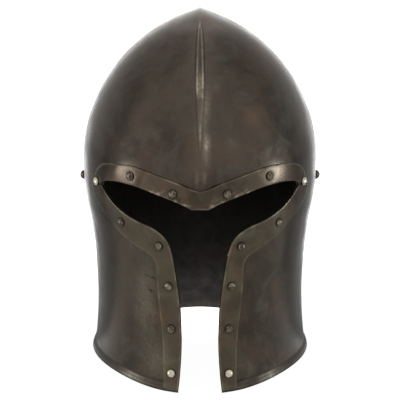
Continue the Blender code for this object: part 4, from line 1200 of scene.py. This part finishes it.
def short_strap():
    wrap_radius = WIRE_RADIUS + GAP + STRAP_THICKNESS / 2
    half = STRAP_THICKNESS / 2 + GAP / 2
    upper = [(0.0908, 0.1270), (0.0856, 0.1090), (0.0812, 0.0980)]
    upper += [(BAR_X - half, 0.0880), (BAR_X - half, 0.0780)]
    wrap = arc((BAR_X, BAR_Z), wrap_radius, 180, 360, 16)
    back = [(BAR_X + half, 0.0780), (BAR_X + half, 0.0900)]
    route = np.vstack([smoothed(np.vstack([top_route, upper])), wrap, back])
    solid = strap_solid(densify(route), 1, STRAP_WIDTH, STRAP_THICKNESS)
    skins, nodes = [strap_hide], ["chin_strap_short"]
    made = add_object("short_strap_hide", *solid, skins, "short_strap", "strap_leather", nodes, 50)
    bore(made, pivot, side_normal, SHANK_RADIUS + GAP, 0.004)
    reach = WIRE_RADIUS + STRAP_THICKNESS + 0.003
    slot = arc((0, BAR_Z + 0.006), PRONG_WIDTH, 0, 180, 8)
    slot = np.vstack([slot, [(-PRONG_WIDTH, BAR_Z - reach), (PRONG_WIDTH, BAR_Z - reach)]])
    slot = slot + [pivot[1], 0]
    near, far = (np.insert(slot, 0, x, axis=1) for x in (BAR_X - reach, BAR_X + reach))
    cut_prism(made, near, far)
    bore(made, (BAR_X, pivot[1], FOLD_RIVET_Z), (1, 0, 0), SHANK_RADIUS + GAP, 0.005)
    finish_strap(made)
    seat = STRAP_THICKNESS + GAP / 2 + 0.0001
    half_head = [(0.0028 * math.cos(t), seat + 0.0012 * math.sin(t)) for t in np.linspace(90, 0, 8) * DEGREE]
    half_head[0] = (0, seat + 0.0012)
    half_head.append((SHANK_RADIUS, seat))
    profile = [*half_head, *[(r, -h) for r, h in reversed(half_head)]]
    place = (np.array([BAR_X, pivot[1], FOLD_RIVET_Z]), np.array([1.0, 0, 0]))
    solid, nodes = turned_solid(profile, place), ["strap_fold_rivet"]
    stud = add_object("fold_stud", *solid, [bright_rivet], "short_strap", "rivet_steel", nodes, 50)
    set_marks(stud.data, 0.8)


def long_strap():
    down = [(0.0908, 0.1270), (0.0858, 0.1120), (LONG_OUTER_X, 0.1010)]
    down += [(LONG_OUTER_X, 0.0780), (0.0828, 0.0520)]
    up = [(0.0763, 0.0480), (0.0775, 0.0660), (LONG_INNER_X, 0.0800)]
    up += [(LONG_INNER_X, 0.1030), (0.0800, 0.1120)]
    fold = arc((0.0792, LONG_FOLD_Z), 0.0036, 360, 180, 16)
    down = smoothed(np.vstack([top_route, down, fold[:1]]))
    up = smoothed(np.vstack([fold[-1:], up]))
    route = np.vstack([down, fold[1:], up[1:]])
    solid = strap_solid(densify(route), -1, STRAP_WIDTH, STRAP_THICKNESS, tip=0.010)
    skins, nodes = [strap_hide], ["chin_strap_long"]
    made = add_object("long_strap_hide", *solid, skins, "long_strap", "strap_leather", nodes, 50)
    mirrored_pivot = (-pivot[0], pivot[1], pivot[2])
    bore(made, mirrored_pivot, (-side_normal[0], side_normal[1], side_normal[2]), SHANK_RADIUS + GAP, 0.004)
    for height in HOLE_HEIGHTS:
        bore(made, (-0.0772, pivot[1], height), (1, 0, 0), 0.0014, 0.0027)
    finish_strap(made)


def corner_centres(low, high, radius):
    """Centres of a rounded rectangle's corners, starting from its high corner."""
    left, right = low[0] + radius, high[0] - radius
    bottom, top = low[1] + radius, high[1] - radius
    return [(right, top), (left, top), (left, bottom), (right, bottom)]


def keeper():
    """A narrow leather loop with rounded corners round both layers of the long strap."""
    half_gap = STRAP_THICKNESS / 2 + GAP
    low = np.array([LONG_INNER_X - half_gap, -STRAP_WIDTH / 2 - GAP])
    high = np.array([LONG_OUTER_X + half_gap, STRAP_WIDTH / 2 + GAP])
    corner = 0.0006
    loop = []
    for number, (cx, cy) in enumerate(corner_centres(low, high, corner)):
        turns = np.linspace(90 * number, 90 * number + 90, 6) * DEGREE
        loop += [(cx, cy, math.cos(t), math.sin(t)) for t in turns]
    section = leather_section(KEEPER_HEIGHT, KEEPER_WALL, 5)
    sections = []
    for cx, cy, ox, oy in loop:
        out = corner + KEEPER_WALL / 2 + section[:, 1]
        sections.append(np.stack([-(cx + ox * out), pivot[1] + cy + oy * out, KEEPER_Z + section[:, 0]], 1))
    solid = swept(np.array(sections), closed=True)
    made = add_object("keeper_loop", *solid, [strap_hide], "keeper", "strap_leather", ["strap_keeper"], 50)
    p = places_of(made.data)
    set_marks(made.data, np.exp(-(((KEEPER_HEIGHT / 2 - np.abs(p[:, 2] - KEEPER_Z)) / 0.0007) ** 2)))


def buckle():
    low, high = (-BUCKLE_HALF_WIDTH, BAR_Z - BUCKLE_HEIGHT), (BUCKLE_HALF_WIDTH, BAR_Z)
    centres = corner_centres(low, high, BUCKLE_CORNER)
    loop = [arc(centre, BUCKLE_CORNER, 90 * k, 90 * k + 90, 8) for k, centre in enumerate(centres)]
    loop = np.vstack(loop)
    closed = np.vstack([loop[-1:], loop, loop[:1]])
    along = unit(closed[2:] - closed[:-2])
    out = np.stack([along[:, 1], -along[:, 0]], 1)
    turns = np.arange(16) * math.pi / 8
    sections = []
    for place, away in zip(loop, out):
        y = pivot[1] + place[0] + away[0] * WIRE_RADIUS * np.sin(turns)
        z = place[1] + away[1] * WIRE_RADIUS * np.sin(turns)
        sections.append(np.stack([BAR_X + WIRE_RADIUS * np.cos(turns), y, z], 1))
    solid = swept(np.array(sections), closed=True)
    made = add_object("buckle_loop", *solid, [buckle_metal], "buckle", "buckle_steel", ["buckle_frame"], 60)
    set_marks(made.data, 0.8)


def prong():
    curl_radius = WIRE_RADIUS + GAP + PRONG_THICKNESS / 2
    rest_x = BAR_X - WIRE_RADIUS - GAP - PRONG_THICKNESS / 2
    curl = arc((BAR_X, BAR_Z), curl_radius, -60, 200, 26)
    tip = (rest_x, BAR_Z - BUCKLE_HEIGHT - 0.0022)
    straight = [(BAR_X - curl_radius, BAR_Z - 0.003), (rest_x, BAR_Z - 0.012), tip]
    route = densify(np.vstack([curl, straight]), 0.0006)
    solid = strap_solid(route, 1, PRONG_WIDTH, PRONG_THICKNESS, tip=0.003)
    made = add_object("prong_pin", *solid, [buckle_metal], "prong", "buckle_steel", ["buckle_prong"], 50)
    set_marks(made.data, 0.9)


short_strap()
long_strap()
keeper()
buckle()
prong()

# ---------------------------------------------------------------- floor, light and camera

FLOOR_REACH, FLOOR_DROP = 6.0, 0.0002
SOFTBOX_SIZE, SOFTBOX_POWER = (0.15, 0.17), 1.9
SOFTBOX_AWAY, SOFTBOX_AIM = 1.2, (0, -0.09, 0.17)
CAMERA_AWAY, CAMERA_HEIGHT, CAMERA_DIP, LENS = 1.2614, 0.4491, 14, 133.3


def room_strength(tree, direction, front, sides, shade, behind):
    """How bright the room is in a direction: shaded beside and behind the helmet, and bright far behind."""
    split = tree.add("ShaderNodeSeparateXYZ")
    tree.link(direction, split.inputs[0])
    back = split.outputs["Y"]
    aside = tree.ramp(tree.math("ABSOLUTE", split.outputs["X"]), 0.15, 0.45)
    shaded = tree.times(aside, tree.ramp(back, -0.02, 0.22))
    shaded = tree.times(shaded, tree.ramp(back, *behind, shade, 0.0))
    return tree.times(tree.ramp(back, -0.2, 0.9, front, sides), tree.math("SUBTRACT", 1.0, shaded))


def white_to_camera(tree, strength):
    """At least 1 for rays from the camera, and the strength itself for reflections."""
    path = tree.add("ShaderNodeLightPath")
    return tree.math("MAXIMUM", path.outputs["Is Camera Ray"], strength)


def floor():
    # The floor glows: it is white to the camera, and for reflections its light is shaded by direction, darker
    # beside and behind the helmet and brighter far behind.
    n = Nodes("glowing_floor")
    n.finish(n.mix(n.noise(3, 3), (0.05, 0.05, 0.05), (0.06, 0.06, 0.06)), 0.80, 0.0)
    direction = n.add("ShaderNodeVectorMath", operation="NORMALIZE")
    n.link(n.place, direction.inputs[0])
    strength = room_strength(n, direction.outputs["Vector"], 0.74, 1.80, 0.78, (0.70, 0.93))
    n.shader.inputs["Emission Color"].default_value = (0.98, 0.98, 0.98, 1.0)
    n.link(white_to_camera(n, strength), n.shader.inputs["Emission Strength"])
    n.shader.inputs["Specular IOR Level"].default_value = 0.0
    mesh = bpy.data.meshes.new("floor")
    corners = [(x * FLOOR_REACH, y * FLOOR_REACH, 0) for x, y in ((-1, -1), (1, -1), (1, 1), (-1, 1))]
    mesh.from_pydata(corners, [], [(0, 1, 2, 3)])
    mesh.materials.append(n.material)
    made = bpy.data.objects.new("floor", mesh)
    made.location.z = -FLOOR_DROP
    bpy.context.scene.collection.objects.link(made)


def softbox(name, side):
    """A small cool light level with the brow band, which it gives its highlights."""
    light = bpy.data.lights.new(name, "AREA")
    light.shape = "RECTANGLE"
    light.size, light.size_y = SOFTBOX_SIZE
    light.energy = SOFTBOX_POWER
    light.color = (0.86, 0.94, 1.0)
    made = bpy.data.objects.new(name, light)
    made.location = (side * SOFTBOX_AWAY, -0.165, 0.10)
    made.rotation_euler = (Vector(SOFTBOX_AIM) - made.location).to_track_quat("-Z", "Y").to_euler()
    bpy.context.scene.collection.objects.link(made)


def surroundings():
    """A white room that the camera sees as plain white."""
    world = bpy.context.scene.world or bpy.data.worlds.new("room")
    bpy.context.scene.world = world
    world.use_nodes = True
    world.node_tree.nodes.clear()
    tree = Tree(world.node_tree)
    place = tree.add("ShaderNodeTexCoord").outputs["Generated"]
    strength = room_strength(tree, place, 0.95, 1.90, 0.62, (0.84, 0.97))
    background = tree.add("ShaderNodeBackground")
    background.inputs["Color"].default_value = (1.0, 1.0, 1.0, 1.0)
    tree.link(white_to_camera(tree, strength), background.inputs["Strength"])
    tree.link(background.outputs[0], tree.add("ShaderNodeOutputWorld").inputs["Surface"])


def camera():
    data = bpy.data.cameras.new("camera")
    data.sensor_width = 36.0
    data.lens = LENS
    made = bpy.data.objects.new("camera", data)
    made.location = (0, MIDDLE_Y - CAMERA_AWAY, CAMERA_HEIGHT)
    made.rotation_euler = ((90 - CAMERA_DIP) * DEGREE, 0, 0)
    bpy.context.scene.collection.objects.link(made)
    bpy.context.scene.camera = made
    bpy.context.scene.view_settings.view_transform = "Standard"


floor()
surroundings()
softbox("left_softbox", -1)
softbox("right_softbox", 1)
camera()
